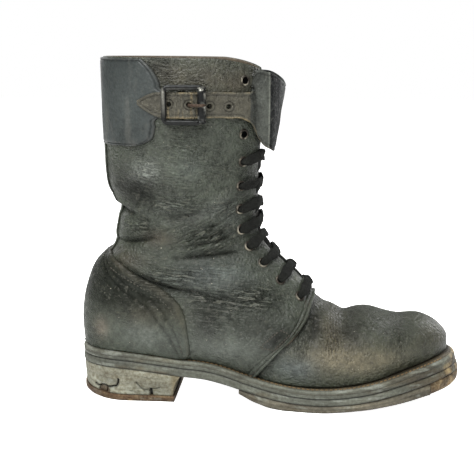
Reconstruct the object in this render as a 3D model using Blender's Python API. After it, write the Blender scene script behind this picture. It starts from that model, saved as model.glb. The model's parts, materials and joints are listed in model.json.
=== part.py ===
"""Right military high boot, built as an assembly of separate solids.

The foot points along +X, the outer side with the buckle faces -Y and Z is up.
Tables and sizes are in millimetres, measured from the back of the sole (x), the
line through the heel (y) and the floor (z).  Every solid is moved so that the
boot stands over the origin, and is written in metres.
"""

import math

import bmesh
import bpy
import numpy as np

MM = 0.001
GAP = 0.3
MERGE_DISTANCE = 0.02
SLIVER = 0.005
SHARP_ANGLE = 35.0
LATERAL = -1.0
MEDIAL = 1.0

# Driving sizes of the sole
SOLE_LENGTH = 308.0
HEEL_ROUND = 42.0
TOE_ROUND = 88.0
TOE_POWER = 2.15
HEEL_STEPS = 8
TOE_STEPS = 12
MIDDLE_STEPS = 13
WELT_THICK = 3.0
EDGE_INSET = 0.9
EDGE_DROP = 1.3
EDGE_UNDER = 0.4
HEEL_BREAST = 84.0
BREAST_SLOPE = 5.0
HEEL_WAIST = 1.7
HEEL_WAIST_DROP = 9.0
HEEL_PLATE_THICK = 5.0
HEEL_PLATE_INSET = 1.0
HALF_SOLE_START = 131.0
TOE_PLATE_START = 281.0
TOE_PLATE_BEVEL = 2.2
INSOLE_THICK = 3.0
INSOLE_MARGIN = 3.4

# Driving sizes of the leather
UPPER_WALL = 2.2
UPPER_COLUMNS = 11
QUARTER_STEP = 1.2
WELT_CLEAR = 0.9
FOREFOOT_BULGE = 2.0
FEATHER_FADE = 20.0
WAIST_SOFTNESS = 4.0
CENTRE_FADE_TOP = 150.0
CENTRE_FADE_SPAN = 80.0
COUNTER_THICK = 1.4
COUNTER_RISE = 0.065
COUNTER_GAP = 1.2
COUNTER_COLUMNS = 7
COUNTER_SAMPLES = 200
COUNTER_LEAST = 16
ROW_MARGIN = 0.2
COUNTER_FIRST = 12.1
COUNTER_END = 24.0
BACKSTAY_THICK = 1.4
BACKSTAY_HALF = 11.0
BACKSTAY_GAP = 0.5
BACKSTAY_END = 0.3
BACKSTAY_ROWS = 10
BACKSTAY_COLUMNS = 4
CUFF_THICK = 1.8
CUFF_GAP = 0.75
CUFF_COLUMNS = 7
STRAP_THICK = 1.8
STRAP_COLUMNS = 5
TONGUE_THICK = 2.0
TONGUE_BULGE = 1.6
TONGUE_GAP = 0.5
TONGUE_UNDER_VAMP = 1.6
TONGUE_COLUMNS = 9
TONGUE_TOP = 33.6
COLLAR_DROP = 13.0
COLLAR_TURN = 1.15
COLLAR_POWER = 1.3

# Driving sizes of the metal and the lace
EYELET_HOLE = 3.05
EYELET_STEPS = 8
EYELET_WALL = 0.65
EYELET_FLANGE = 4.6
EYELET_DEPTH = 2.4
EYELET_SEAT = 0.35
EYELET_CROWN = 1.2
HOLE_REACH = 5.0
STRAP_HOLE = 2.8
STRAP_HOLE_REACH = 14.0
BUCKLE_WIDTH = 29.0
BUCKLE_HEIGHT = 26.0
BUCKLE_CORNER = 3.0
BUCKLE_BAR = 1.65
CENTRE_BAR = 1.2
BUCKLE_LIFT = 6.2
CENTRE_BAR_LIFT = 4.0
CENTRE_BAR_RAMP = 1.6
PRONG_RADIUS = 1.05
PRONG_TIP = 2.6
LACE_RADIUS = 1.7
LACE_SIDES = 5
LACE_RISE = 0.4
LACE_GUIDE = (0.75, 0.0, 0.66)

# Sole seen from above: half width before the ends are rounded, centre line, visible welt
PLAN_X, PLAN_HALF, PLAN_CENTRE, PLAN_WELT = np.array([
    (0.0, 37.0, 0.0, 6.0),
    (50.0, 37.0, 0.0, 7.0),
    (85.0, 35.8, -1.5, 7.0),
    (110.0, 35.2, -3.0, 6.4),
    (135.0, 38.6, -4.0, 6.6),
    (165.0, 47.0, -3.0, 7.0),
    (200.0, 52.5, -1.5, 8.0),
    (230.0, 53.0, 1.0, 8.5),
    (260.0, 51.5, 4.0, 9.5),
    (308.0, 49.0, 10.0, 11.0),
]).T

# Sole seen from the side: top of the welt, thickness of welt and midsole, of outsole, underside
SIDE_X, SIDE_TOP, SIDE_UPPER_BAND, SIDE_OUTSOLE, SIDE_UNDER = np.array([
    (0.0, 39.2, 6.5, 6.4, 3.4),
    (10.0, 39.8, 6.5, 6.4, 1.4),
    (22.0, 40.2, 6.5, 6.4, 0.4),
    (34.0, 40.1, 6.5, 6.4, 0.0),
    (60.0, 37.6, 6.5, 6.4, 0.0),
    (84.0, 34.6, 6.5, 6.6, 0.0),
    (105.0, 32.8, 6.5, 7.0, 18.9),
    (118.0, 30.1, 6.5, 7.0, 16.0),
    (131.0, 26.5, 6.5, 6.6, 9.8),
    (142.0, 23.8, 6.5, 6.2, 4.6),
    (154.0, 21.4, 6.5, 5.8, 1.2),
    (166.0, 19.5, 6.5, 5.5, 0.0),
    (196.0, 18.0, 6.5, 5.3, 0.0),
    (215.0, 19.4, 6.6, 5.4, 1.3),
    (235.0, 22.6, 6.9, 5.7, 3.2),
    (255.0, 27.8, 7.8, 6.1, 5.8),
    (275.0, 33.2, 8.8, 6.4, 8.8),
    (292.0, 37.2, 9.2, 6.6, 11.2),
    (308.0, 39.6, 9.4, 6.8, 13.6),
]).T

# Sections of the last that end on the sole: ridge point, sole point, half width, widest place, fullness
FOOT_ROWS = [
    (297.0, 47.5, 297.0, 0.0, 0.70, 0.20),
    (296.0, 50.5, 296.0, 0.0, 0.70, 0.20),
    (293.0, 54.8, 293.0, 0.0, 0.70, 0.22),
    (287.5, 59.6, 287.5, 0.0, 0.70, 0.24),
    (279.0, 63.4, 278.5, 0.0, 0.70, 0.26),
    (266.0, 65.0, 264.0, 0.0, 0.70, 0.28),
    (250.0, 65.8, 246.0, 0.0, 0.70, 0.26),
    (231.0, 69.6, 224.0, 0.0, 0.70, 0.22),
    (214.0, 70.0, 202.0, 0.0, 0.70, 0.16),
    (201.0, 74.0, 176.0, 0.0, 0.68, 0.10),
    (189.0, 83.0, 147.0, 38.0, 0.66, 0.04),
    (178.5, 96.5, 118.0, 40.0, 0.64, 0.02),
    (167.5, 107.5, 88.0, 40.0, 0.62, 0.0),
    (157.0, 118.0, 58.0, 38.5, 0.60, 0.0),
    (149.0, 129.0, 32.0, 37.0, 0.56, 0.0),
    (145.6, 138.0, 17.0, 36.0, 0.54, 0.0),
    (144.7, 144.5, 8.6, 35.5, 0.53, 0.0),
    (144.5, 150.0, 6.0, 35.0, 0.52, 0.0),
]

# Sections that end on the back line: the same columns, with the height of the back point
SHAFT_ROWS = [
    (144.5, 154.0, 4.7, 50.0, 35.0, 0.51, 0.0),
    (144.5, 158.0, 4.0, 63.0, 35.0, 0.50, 0.0),
    (144.5, 162.0, 5.3, 78.0, 35.2, 0.50, 0.0),
    (144.5, 166.0, 9.2, 92.0, 35.6, 0.50, 0.0),
    (144.5, 170.0, 15.6, 105.5, 36.0, 0.50, 0.0),
    (144.5, 174.0, 25.2, 115.5, 36.4, 0.50, 0.02),
    (144.5, 178.0, 30.4, 124.0, 36.8, 0.50, 0.04),
    (144.5, 182.0, 31.0, 134.0, 37.2, 0.50, 0.06),
    (144.6, 186.0, 33.2, 144.0, 37.8, 0.50, 0.08),
    (144.7, 190.0, 35.2, 151.5, 38.4, 0.50, 0.10),
    (144.9, 194.0, 32.6, 159.0, 39.0, 0.50, 0.10),
    (145.2, 198.0, 26.2, 169.5, 39.8, 0.50, 0.10),
    (145.6, 202.0, 24.2, 183.0, 40.6, 0.50, 0.10),
    (146.0, 206.0, 24.0, 204.0, 41.4, 0.50, 0.10),
    (147.0, 228.0, 23.6, 227.0, 42.0, 0.50, 0.10),
    (147.6, 250.0, 23.2, 250.0, 42.4, 0.50, 0.10),
    (147.0, 269.5, 22.8, 271.0, 42.6, 0.50, 0.10),
]

HEEL_ROW = len(FOOT_ROWS) - 1
LAST_ROW = len(FOOT_ROWS) + len(SHAFT_ROWS) - 1
SEAM_ROW = 10
CUFF_ROW = 31
EXTRA_ROWS = (7.5, 9.98, 10.45, 11.5, 12.5, 32.5, 33.5)

# Half gap of the throat along the sections, closed below the seam between vamp and quarters
THROAT_ROW, THROAT_GAP = np.array([
    (0.0, 0.0),
    (10.15, 0.0),
    (10.5, 3.4),
    (11.0, 5.0),
    (12.0, 6.5),
    (14.0, 9.0),
    (17.0, 10.5),
    (24.0, 11.5),
    (31.0, 13.0),
    (34.0, 16.0),
]).T

# Upper edge of the heel counter, from the front corner up to the back
COUNTER_X, COUNTER_Z = np.array([
    (0.0, 124.0),
    (26.6, 117.5),
    (49.9, 103.2),
    (73.2, 91.6),
    (83.3, 83.0),
    (88.7, 72.7),
    (91.0, 60.6),
    (93.1, 37.0),
]).T

# Front edge of the cuff on the outer side, with the tab under the buckle, from the bottom up
CUFF_EDGE_Z, CUFF_EDGE_X = np.array([
    (204.0, 48.0),
    (205.4, 55.0),
    (208.6, 62.8),
    (219.0, 69.0),
    (226.5, 72.8),
    (229.0, 82.0),
    (231.5, 87.5),
    (240.5, 87.5),
    (243.5, 82.0),
    (246.5, 75.0),
    (252.0, 72.6),
    (258.0, 69.6),
    (264.0, 65.0),
    (269.6, 59.0),
]).T
CUFF_MEDIAL_X = 76.0

# Front flap on the inner side: x, side, lift off the upper, height of its upper and lower edge
FLAP_ROWS = [
    (78.0, MEDIAL, 0.6, 264.0, 207.0),
    (89.0, MEDIAL, 0.6, 264.3, 206.8),
    (100.0, MEDIAL, 0.6, 264.5, 206.5),
    (111.0, MEDIAL, 0.7, 264.4, 206.0),
    (122.0, MEDIAL, 1.2, 264.0, 205.0),
    (131.0, MEDIAL, 2.2, 263.2, 204.0),
    (138.0, MEDIAL, 3.4, 262.0, 203.0),
]

# Front flap where it stands clear of the shaft: x, y and height of its upper and of its lower edge
FLAP_FRONT = [
    (152.0, 23.0, 259.0, 150.0, 14.0, 200.5),
    (161.5, 12.0, 253.0, 153.6, 6.0, 198.0),
    (163.0, 6.0, 250.0, 154.4, 1.0, 197.5),
    (161.5, 0.0, 251.5, 154.2, -5.0, 198.0),
    (153.5, -19.0, 259.0, 152.6, -15.5, 200.6),
    (151.0, -21.8, 259.8, 150.4, -17.6, 202.0),
    (145.5, -23.4, 260.0, 146.6, -19.6, 206.5),
    (142.6, -23.9, 250.5, 143.2, -21.8, 211.6),
]

# Strap on the outer side, out to its tip, with the columns of the flap's inner side
STRAP_ROWS = [
    (139.6, LATERAL, 2.6, 245.6, 218.4),
    (132.0, LATERAL, 2.0, 244.6, 224.6),
    (122.0, LATERAL, 1.0, 245.2, 225.8),
    (112.0, LATERAL, 1.2, 245.6, 226.3),
    (104.5, LATERAL, 3.3, 245.7, 226.3),
    (99.0, LATERAL, 4.3, 245.7, 226.3),
    (95.0, LATERAL, 5.2, 245.7, 226.3),
    (90.0, LATERAL, 5.6, 245.7, 226.3),
    (84.0, LATERAL, 4.8, 245.7, 226.3),
    (76.0, LATERAL, 3.2, 245.7, 226.3),
    (70.0, LATERAL, 2.8, 245.3, 227.6),
    (62.0, LATERAL, 2.6, 242.5, 231.8),
    (56.5, LATERAL, 2.6, 239.0, 235.8),
]

# Punched holes of the strap, as x and height, and the buckle's middle
STRAP_HOLES = ((79.8, 236.6), (94.6, 236.3), (109.0, 235.0), (123.0, 234.4))
BUCKLE_X = 90.0
BUCKLE_Z = 236.3

# Eyelets of one side from the top down, each mirrored to the other side
EYELET_ROWS = [
    (134.0, 253.5),
    (133.6, 233.5),
    (133.2, 213.0),
    (132.6, 192.0),
    (130.8, 173.0),
    (130.2, 154.5),
    (131.0, 138.0),
    (137.2, 124.6),
    (148.2, 111.6),
    (162.0, 98.4),
    (177.2, 85.6),
]
FIRST_LACED = 3

# Half width of the tongue along the sections
TONGUE_ROW, TONGUE_HALF = np.array([
    (8.8, 13.0),
    (12.0, 19.0),
    (20.0, 25.0),
    (34.0, 28.0),
]).T

# One crossing of the lace: share of the way between its two eyelets, lift off the upper
LACE_SHARE, LACE_LIFT = np.array([
    (0.0, 4.2),
    (0.3, 3.4),
    (0.5, 2.8),
    (0.7, 3.4),
    (1.0, 4.2),
]).T

# Pieces broken out of the heel's outer side: place, height, size along, upright and into the heel
HEEL_CHIPS = [
    (20.0, 14.0, 15.0, 5.0, 14.0),
    (11.0, 8.5, 5.0, 9.0, 20.0),
    (64.0, 8.0, 4.0, 9.0, 12.0),
]


def curve(at, knots, values):
    """Return a smooth cubic through table values, with slopes from each row's neighbours."""
    at = np.asarray(at, float)
    knots = np.asarray(knots, float)
    values = np.asarray(values, float)
    slope = np.gradient(values, knots)
    k = np.clip(np.searchsorted(knots, at, side="right") - 1, 0, len(knots) - 2)
    width = knots[k + 1] - knots[k]
    t = np.clip((at - knots[k]) / width, 0.0, 1.0)
    rise = values[k + 1] - values[k]
    bend = slope[k] * width - rise
    other = rise - slope[k + 1] * width
    return values[k] + t * rise + t * (1.0 - t) * ((1.0 - t) * bend + t * other)


def half_outline(x):
    """Half width of the sole at x, with heel and toe rounded off."""
    heel = np.clip(1.0 - x / HEEL_ROUND, 0.0, 1.0)
    toe = np.clip((x - SOLE_LENGTH + TOE_ROUND) / TOE_ROUND, 0.0, 1.0)
    heel_round = np.sqrt(1.0 - heel ** 2)
    toe_round = (1.0 - toe ** TOE_POWER) ** (1.0 / TOE_POWER)
    return curve(x, PLAN_X, PLAN_HALF) * heel_round * toe_round


def outline(x, inset):
    """Return x, outer y and inner y of the sole's outline drawn in by an inset."""
    x = np.asarray(x, float)
    inset = np.broadcast_to(np.asarray(inset, float), x.shape)
    share = x / SOLE_LENGTH
    half = half_outline(x) * (1.0 - inset / curve(x, PLAN_X, PLAN_HALF))
    moved = x + np.interp(0.0, x, inset) * (1.0 - share) - np.interp(SOLE_LENGTH, x, inset) * share
    centre = curve(moved, PLAN_X, PLAN_CENTRE)
    return moved, centre - half, centre + half


def feather_half(x):
    """Half width of the upper where it meets the welt."""
    heel_inset = PLAN_WELT[0]
    toe_inset = PLAN_WELT[-1]
    share = np.clip((x - heel_inset) / (SOLE_LENGTH - heel_inset - toe_inset), 0.0, 1.0)
    on_sole = share * SOLE_LENGTH
    return half_outline(on_sole) * (1.0 - curve(on_sole, PLAN_X, PLAN_WELT) / curve(on_sole, PLAN_X, PLAN_HALF))


def welt_top(x):
    """Height of the welt's upper face."""
    return curve(x, SIDE_X, SIDE_TOP)


def outsole_top(x):
    """Height between the midsole and the outsole."""
    return welt_top(x) - curve(x, SIDE_X, SIDE_UPPER_BAND)


def outsole_under(x):
    """Height of the outsole's lower face."""
    return outsole_top(x) - curve(x, SIDE_X, SIDE_OUTSOLE)


def ground_line(x):
    """Height of the lowest face, with the worn heel, the flat tread and the toe spring."""
    return np.interp(x, SIDE_X, SIDE_UNDER)


def outline_stations(start, end):
    """Return x stations from start to end, closer together where the ends are round."""
    heel = HEEL_ROUND * (1.0 - np.cos(np.linspace(0.0, math.pi / 2.0, HEEL_STEPS)))
    toe = SOLE_LENGTH - TOE_ROUND * (1.0 - np.sin(np.linspace(0.0, math.pi / 2.0, TOE_STEPS)))
    middle = np.linspace(HEEL_ROUND, SOLE_LENGTH - TOE_ROUND, MIDDLE_STEPS)
    every = np.unique(np.round(np.concatenate([heel, middle, toe]), 4))
    inside = every[(every > start + 1.0) & (every < end - 1.0)]
    return np.concatenate([[start], inside, [end]])


def boot_origin():
    """Point of the tables that stands at the origin: the middle of the sole's box, on the floor."""
    _, outer, inner = outline(outline_stations(0.0, SOLE_LENGTH), 0.0)
    return np.array([SOLE_LENGTH / 2.0, (outer.min() + inner.max()) / 2.0, 0.0])


LAST = np.array(
    [(fx, fz, rx, float(welt_top(rx)) + GAP, half, wide, full) for fx, fz, rx, half, wide, full in FOOT_ROWS]
    + SHAFT_ROWS
)
ROW_INDEX = np.arange(LAST_ROW + 1, dtype=float)
ORIGIN = boot_origin()


def section(u):
    """Return the last's values at section u: ridge, rear point, half width, shape, feather and gap."""
    fx, fz, rx, rz, half, wide, full = (curve(u, ROW_INDEX, column) for column in LAST.T)
    on_sole = u <= HEEL_ROW
    rz = np.where(on_sole, welt_top(rx) + GAP, rz)
    feather = np.where(on_sole, feather_half(rx), 0.0)
    on_foot = np.clip(feather / FEATHER_FADE, 0.0, 1.0)
    least = feather + FOREFOOT_BULGE * on_foot
    softness = WAIST_SOFTNESS * on_foot
    half = 0.5 * (half + least + np.sqrt((half - least) ** 2 + softness ** 2))
    gap = np.interp(u, THROAT_ROW, THROAT_GAP)
    return fx, fz, rx, rz, np.maximum(half, 1e-6), wide, full, feather, gap


def turn_range(u):
    """Return the turn at the throat edge and at the rear edge of section u."""
    _, _, _, _, half, _, _, feather, gap = section(u)
    first = np.arcsin(np.clip(gap / half, 0.0, 1.0))
    last = math.pi - np.arcsin(np.clip(feather / half, 0.0, 0.999))
    return first, last


def skin_at_turn(u, turn, side):
    """Return points of the last's surface: half an oval in each section, set off by the sole's centre line."""
    u, turn, side = np.broadcast_arrays(*(np.asarray(value, float) for value in (u, turn, side)))
    fx, fz, rx, rz, half, wide, full, _, _ = section(u)
    _, last = turn_range(u)
    front = wide * np.clip(1.0 - np.cos(turn), 0.0, 1.0) ** (1.0 + full)
    rear = wide + (1.0 - wide) * np.cos(turn) / np.cos(last)
    chord = np.where(turn < math.pi / 2.0, front, rear)
    x = fx + (rx - fx) * chord
    z = fz + (rz - fz) * chord
    fade = np.clip((CENTRE_FADE_TOP - z) / CENTRE_FADE_SPAN, 0.0, 1.0)
    y = side * half * np.sin(turn) + curve(x, PLAN_X, PLAN_CENTRE) * fade
    return np.stack([x, y, z], axis=-1)


def skin_normal(u, turn, side):
    """Return the outward unit normal of the last at given sections and turns."""
    du = 0.01
    dt = 0.004
    turn = np.clip(turn, dt, math.pi - dt)
    low = np.clip(u - du, 0.0, LAST_ROW)
    high = np.clip(u + du, 0.0, LAST_ROW)
    along = skin_at_turn(high, turn, side) - skin_at_turn(low, turn, side)
    round_it = skin_at_turn(u, turn + dt, side) - skin_at_turn(u, turn - dt, side)
    normal = np.cross(round_it, along) * np.asarray(side, float)[..., None]
    return normal / np.maximum(np.linalg.norm(normal, axis=-1, keepdims=True), 1e-12)


def collar_drop(u, turn):
    """Fall of the collar's front corners below its straight back part."""
    near_top = np.clip(u - (LAST_ROW - 1.0), 0.0, 1.0) ** 2
    near_front = np.clip(1.0 - turn / COLLAR_TURN, 0.0, 1.0)
    return COLLAR_DROP * near_top * near_front ** COLLAR_POWER


def leather(u, turn, side, lift=0.0):
    """Return points of the upper's outer face, raised by a lift, with the quarters a step above the vamp."""
    u, turn, side, lift = np.broadcast_arrays(*(np.asarray(value, float) for value in (u, turn, side, lift)))
    step = QUARTER_STEP * (u >= SEAM_ROW)
    points = skin_at_turn(u, turn, side) + skin_normal(u, turn, side) * (lift + step)[..., None]
    points[..., 2] -= collar_drop(u, turn)
    floor = np.where(u <= HEEL_ROW + 1.0, welt_top(points[..., 0]) + WELT_CLEAR, 0.0)
    points[..., 2] = np.maximum(points[..., 2], floor)
    return points


def locate(x, z):
    """Return the section and turn whose side view is the point x, z, by halving the range of sections."""
    x, z = np.broadcast_arrays(np.asarray(x, float), np.asarray(z, float))
    low = np.zeros(x.shape)
    high = np.full(x.shape, float(LAST_ROW))
    for _ in range(40):
        middle = 0.5 * (low + high)
        fx, fz, rx, rz = section(middle)[:4]
        ahead = (rx - fx) * (z - fz) - (rz - fz) * (x - fx) < 0.0
        low = np.where(ahead, middle, low)
        high = np.where(ahead, high, middle)
    u = 0.5 * (low + high)
    fx, fz, rx, rz, _, wide, full, _, _ = section(u)
    _, last = turn_range(u)
    chord = ((x - fx) * (rx - fx) + (z - fz) * (rz - fz)) / ((rx - fx) ** 2 + (rz - fz) ** 2)
    chord = np.clip(chord, 0.0, 1.0)
    front = np.arccos(np.clip(1.0 - (np.minimum(chord, wide) / wide) ** (1.0 / (1.0 + full)), -1.0, 1.0))
    rear = np.arccos(np.clip((chord - wide) / (1.0 - wide) * np.cos(last), -1.0, 1.0))
    return u, np.where(chord < wide, front, rear)


def leather_beside(x, z, side, lift=0.0):
    """Return points of the upper's outer face at a side-view place x, z."""
    u, turn = locate(x, z)
    return leather(u, turn, side, lift)


def finish(name, colour, roughness, metallic=0.0):
    """Return a plain material of one colour."""
    material = bpy.data.materials.new(name)
    material.use_nodes = True
    shader = material.node_tree.nodes["Principled BSDF"]
    shader.inputs["Base Color"].default_value = (*colour, 1.0)
    shader.inputs["Roughness"].default_value = roughness
    shader.inputs["Metallic"].default_value = metallic
    return material


def add_object(name, shape, material, parent=None):
    """Put a bmesh, in table millimetres, into the scene as a named object in metres over the origin."""
    for vertex in shape.verts:
        vertex.co = [(value - middle) * MM for value, middle in zip(vertex.co, ORIGIN)]
    mesh = bpy.data.meshes.new(name)
    shape.to_mesh(mesh)
    shape.free()
    mesh.materials.append(material)
    mesh.shade_smooth()
    mesh.set_sharp_from_angle(angle=math.radians(SHARP_ANGLE))
    item = bpy.data.objects.new(name, mesh)
    bpy.context.scene.collection.objects.link(item)
    item.parent = parent
    return item


def add_grid(shape, points, flip=False):
    """Add a grid of points to a bmesh as quads."""
    rows, columns = points.shape[:2]
    corners = [[shape.verts.new(points[i, j]) for j in range(columns)] for i in range(rows)]
    for i in range(rows - 1):
        for j in range(columns - 1):
            loop = [corners[i][j], corners[i][j + 1], corners[i + 1][j + 1], corners[i + 1][j]]
            shape.faces.new(loop[::-1] if flip else loop)


def merge_close(shape):
    """Join points that lie on one place and drop faces that close up."""
    bmesh.ops.remove_doubles(shape, verts=shape.verts, dist=MERGE_DISTANCE)
    bmesh.ops.dissolve_degenerate(shape, edges=shape.edges, dist=SLIVER)


def thicken(item, thickness, inward=False):
    """Give a sheet its wall with a Solidify modifier."""
    wall = item.modifiers.new("wall", "SOLIDIFY")
    wall.thickness = thickness * MM
    wall.offset = -1.0 if inward else 1.0
    wall.use_even_offset = False
    return wall


def add_sheet(name, points, thickness, material, inward=False, flip=False, parent=None):
    """Make a closed solid from a grid of points by giving it a thickness."""
    shape = bmesh.new()
    add_grid(shape, points, flip)
    merge_close(shape)
    item = add_object(name, shape, material, parent)
    thicken(item, thickness, inward)
    return item


def add_layer(name, start, end, levels, material, parent=None, front_slope=0.0):
    """Make one layer of the sole: rings of the outline at each station, joined into a closed solid.

    Each level is a height function and an inset, from the top of the layer down.
    """
    stations = outline_stations(start, end)
    share = np.linspace(0.0, 1.0, len(levels))
    outer = []
    inner = []
    for (height, inset), part in zip(levels, share):
        x, low, high = outline(stations, inset)
        x = np.where((stations == start) & (start > 0.0), start, x)
        x = np.where((stations == end) & (end < SOLE_LENGTH), end - front_slope * part, x)
        z = height(x)
        outer.append(np.stack([x, low, z], axis=-1))
        inner.append(np.stack([x, high, z], axis=-1))
    rings = np.stack(outer + inner[::-1], axis=1)
    shape = bmesh.new()
    add_grid(shape, np.concatenate([rings, rings[:, :1]], axis=1))
    for ring in (rings[0], rings[-1]):
        if np.ptp(ring[:, 1]) > 1.0:
            shape.faces.new([shape.verts.new(point) for point in ring])
    merge_close(shape)
    bmesh.ops.recalc_face_normals(shape, faces=shape.faces)
    return add_object(name, shape, material, parent)


def add_tube(shape, path, radius, sides=6, closed=False, guide=(0.31, -0.87, 0.38)):
    """Add a round tube along a path to a bmesh, with flat caps or joined into a loop."""
    path = np.asarray(path, float)
    if closed:
        tangent = np.roll(path, -1, axis=0) - np.roll(path, 1, axis=0)
    else:
        tangent = np.gradient(path, axis=0)
    tangent /= np.linalg.norm(tangent, axis=1, keepdims=True)
    across = np.cross(tangent, np.array(guide))
    across /= np.linalg.norm(across, axis=1, keepdims=True)
    upright = np.cross(tangent, across)
    angle = np.arange(sides) * 2.0 * math.pi / sides
    rings = path[:, None] + radius * (
        np.cos(angle)[None, :, None] * across[:, None] + np.sin(angle)[None, :, None] * upright[:, None]
    )
    corners = [[shape.verts.new(point) for point in ring] for ring in rings]
    pairs = list(zip(corners, corners[1:]))
    if closed:
        pairs.append((corners[-1], corners[0]))
    for first, second in pairs:
        for j in range(sides):
            shape.faces.new([first[j], first[j - 1], second[j - 1], second[j]])
    if not closed:
        shape.faces.new(corners[0])
        shape.faces.new(corners[-1][::-1])


def add_cutter(name, shape):
    """Add a hidden object that only cuts or joins others."""
    bmesh.ops.recalc_face_normals(shape, faces=shape.faces)
    item = add_object(name, shape, bpy.data.materials[0])
    item.hide_render = True
    item.display_type = "WIRE"
    return item


def combine(item, other, operation):
    """Cut or join an object with a hidden one."""
    change = item.modifiers.new(operation.lower(), "BOOLEAN")
    change.operation = operation
    change.solver = "EXACT"
    change.object = other
    return change


def frame_at(x, z, side):
    """Return the point on the upper at x, z with the directions forward, up and outward there."""
    u, turn = locate(x, z)
    point = leather(u, turn, side)
    outward = skin_normal(u, turn, np.asarray(side))
    forward = np.cross(np.array([0.0, 0.0, 1.0]), outward) * -side
    forward /= np.linalg.norm(forward)
    upward = np.cross(outward, forward) * side
    upward *= np.sign(upward[2])
    return point, forward, upward, outward


def build_sole(parent):
    """Build welt, midsole, outsole, half sole, toe plate, heel block, heel plate and insole."""
    edge = finish("sole edge leather", (0.13, 0.13, 0.125), 0.7)
    tap = finish("worn tap leather", (0.17, 0.15, 0.12), 0.75)
    block = finish("heel lift leather", (0.2, 0.19, 0.165), 0.8)
    rust = finish("rusty iron", (0.16, 0.1, 0.055), 0.75, 0.5)
    lining = finish("insole leather", (0.2, 0.14, 0.085), 0.8)

    def below(height, drop):
        """Return a height function set lower by a drop."""
        return lambda x: height(x) - drop

    welt_under = below(welt_top, WELT_THICK)
    welt_levels = [(welt_top, EDGE_INSET), (below(welt_top, EDGE_DROP), 0.0), (welt_under, EDGE_UNDER)]
    add_layer("welt", 0.0, SOLE_LENGTH, welt_levels, edge, parent)
    midsole_levels = [(below(welt_under, GAP), EDGE_UNDER), (below(outsole_top, -GAP), EDGE_UNDER)]
    add_layer("midsole", 0.0, SOLE_LENGTH, midsole_levels, edge, parent)
    outsole_levels = [(outsole_top, EDGE_INSET), (below(outsole_top, EDGE_DROP), 0.0), (outsole_under, EDGE_UNDER)]
    add_layer("outsole", 0.0, SOLE_LENGTH, outsole_levels, edge, parent)

    tap_top = below(outsole_under, GAP)
    tap_levels = [(tap_top, EDGE_INSET), (below(tap_top, EDGE_DROP), EDGE_UNDER), (ground_line, EDGE_INSET)]
    add_layer("half_sole", HALF_SOLE_START, TOE_PLATE_START, tap_levels, tap, parent)
    plate_levels = [(tap_top, EDGE_UNDER), (ground_line, TOE_PLATE_BEVEL)]
    add_layer("toe_plate", TOE_PLATE_START + GAP, SOLE_LENGTH, plate_levels, rust, parent)

    iron_top = below(ground_line, -HEEL_PLATE_THICK)
    block_levels = [(tap_top, EDGE_UNDER), (below(tap_top, HEEL_WAIST_DROP), HEEL_WAIST),
                    (below(iron_top, -GAP), HEEL_WAIST)]
    heel = add_layer("heel_block", 0.0, HEEL_BREAST, block_levels, block, parent, BREAST_SLOPE)
    iron_levels = [(iron_top, HEEL_PLATE_INSET), (ground_line, HEEL_PLATE_INSET)]
    add_layer("heel_plate", 0.0, HEEL_BREAST - BREAST_SLOPE, iron_levels, rust, parent)
    for x, z, along, upright, inward in HEEL_CHIPS:
        _, outer, _ = outline(np.array([0.0, x, SOLE_LENGTH]), HEEL_WAIST)
        chip = bmesh.new()
        corners = bmesh.ops.create_cube(chip, size=1.0)["verts"]
        for vertex in corners:
            size = (along, inward, upright)
            vertex.co = [middle + value * side for middle, value, side in zip((x, outer[1], z), vertex.co, size)]
        combine(heel, add_cutter(f"heel_chip_{x:.0f}", chip), "DIFFERENCE")

    insole_under = below(welt_top, -GAP)
    insole_top = below(welt_top, -GAP - INSOLE_THICK)
    margin = curve(outline_stations(0.0, SOLE_LENGTH), PLAN_X, PLAN_WELT) + INSOLE_MARGIN
    add_layer("insole", 0.0, SOLE_LENGTH, [(insole_top, margin), (insole_under, margin)], lining, parent)


def section_stations():
    """Return the sections of the upper's mesh, with two close together at the seam of the quarters."""
    return np.unique(np.concatenate([ROW_INDEX, EXTRA_ROWS]))


def build_upper(parent):
    """Build the hollow upper, with its collar, throat and underside open and its eyelet holes cut."""
    hide = finish("boot leather", (0.1, 0.1, 0.09), 0.6)
    u = section_stations()
    first, last = turn_range(u)
    share = np.linspace(0.0, 1.0, UPPER_COLUMNS)
    turn = first[:, None] + share[None, :] * (last - first)[:, None]
    shape = bmesh.new()
    for side in (LATERAL, MEDIAL):
        add_grid(shape, leather(u[:, None], turn, side), flip=side == LATERAL)
    merge_close(shape)
    upper = add_object("upper", shape, hide, parent)
    thicken(upper, UPPER_WALL, inward=True)
    holes = bmesh.new()
    for x, z in EYELET_ROWS:
        for side in (LATERAL, MEDIAL):
            point, _, _, outward = frame_at(x, z, side)
            reach = HOLE_REACH * outward
            add_tube(holes, [point - reach, point + reach], EYELET_HOLE, EYELET_STEPS)
    combine(upper, add_cutter("eyelet_holes", holes), "DIFFERENCE")


def wrap_round_back(u, edge_outer, edge_inner, columns, lift):
    """Return a grid that runs from an outer edge turn round the back to an inner edge turn."""
    _, last = turn_range(u)
    share = np.linspace(0.0, 1.0, columns)
    outer = edge_outer[:, None] + share[None, :] * (last - edge_outer)[:, None]
    inner = last[:, None] + share[None, 1:] * (edge_inner - last)[:, None]
    first = leather(u[:, None], outer, LATERAL, lift)
    second = leather(u[:, None], inner, MEDIAL, lift)
    return np.concatenate([first, second], axis=1)


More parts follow.
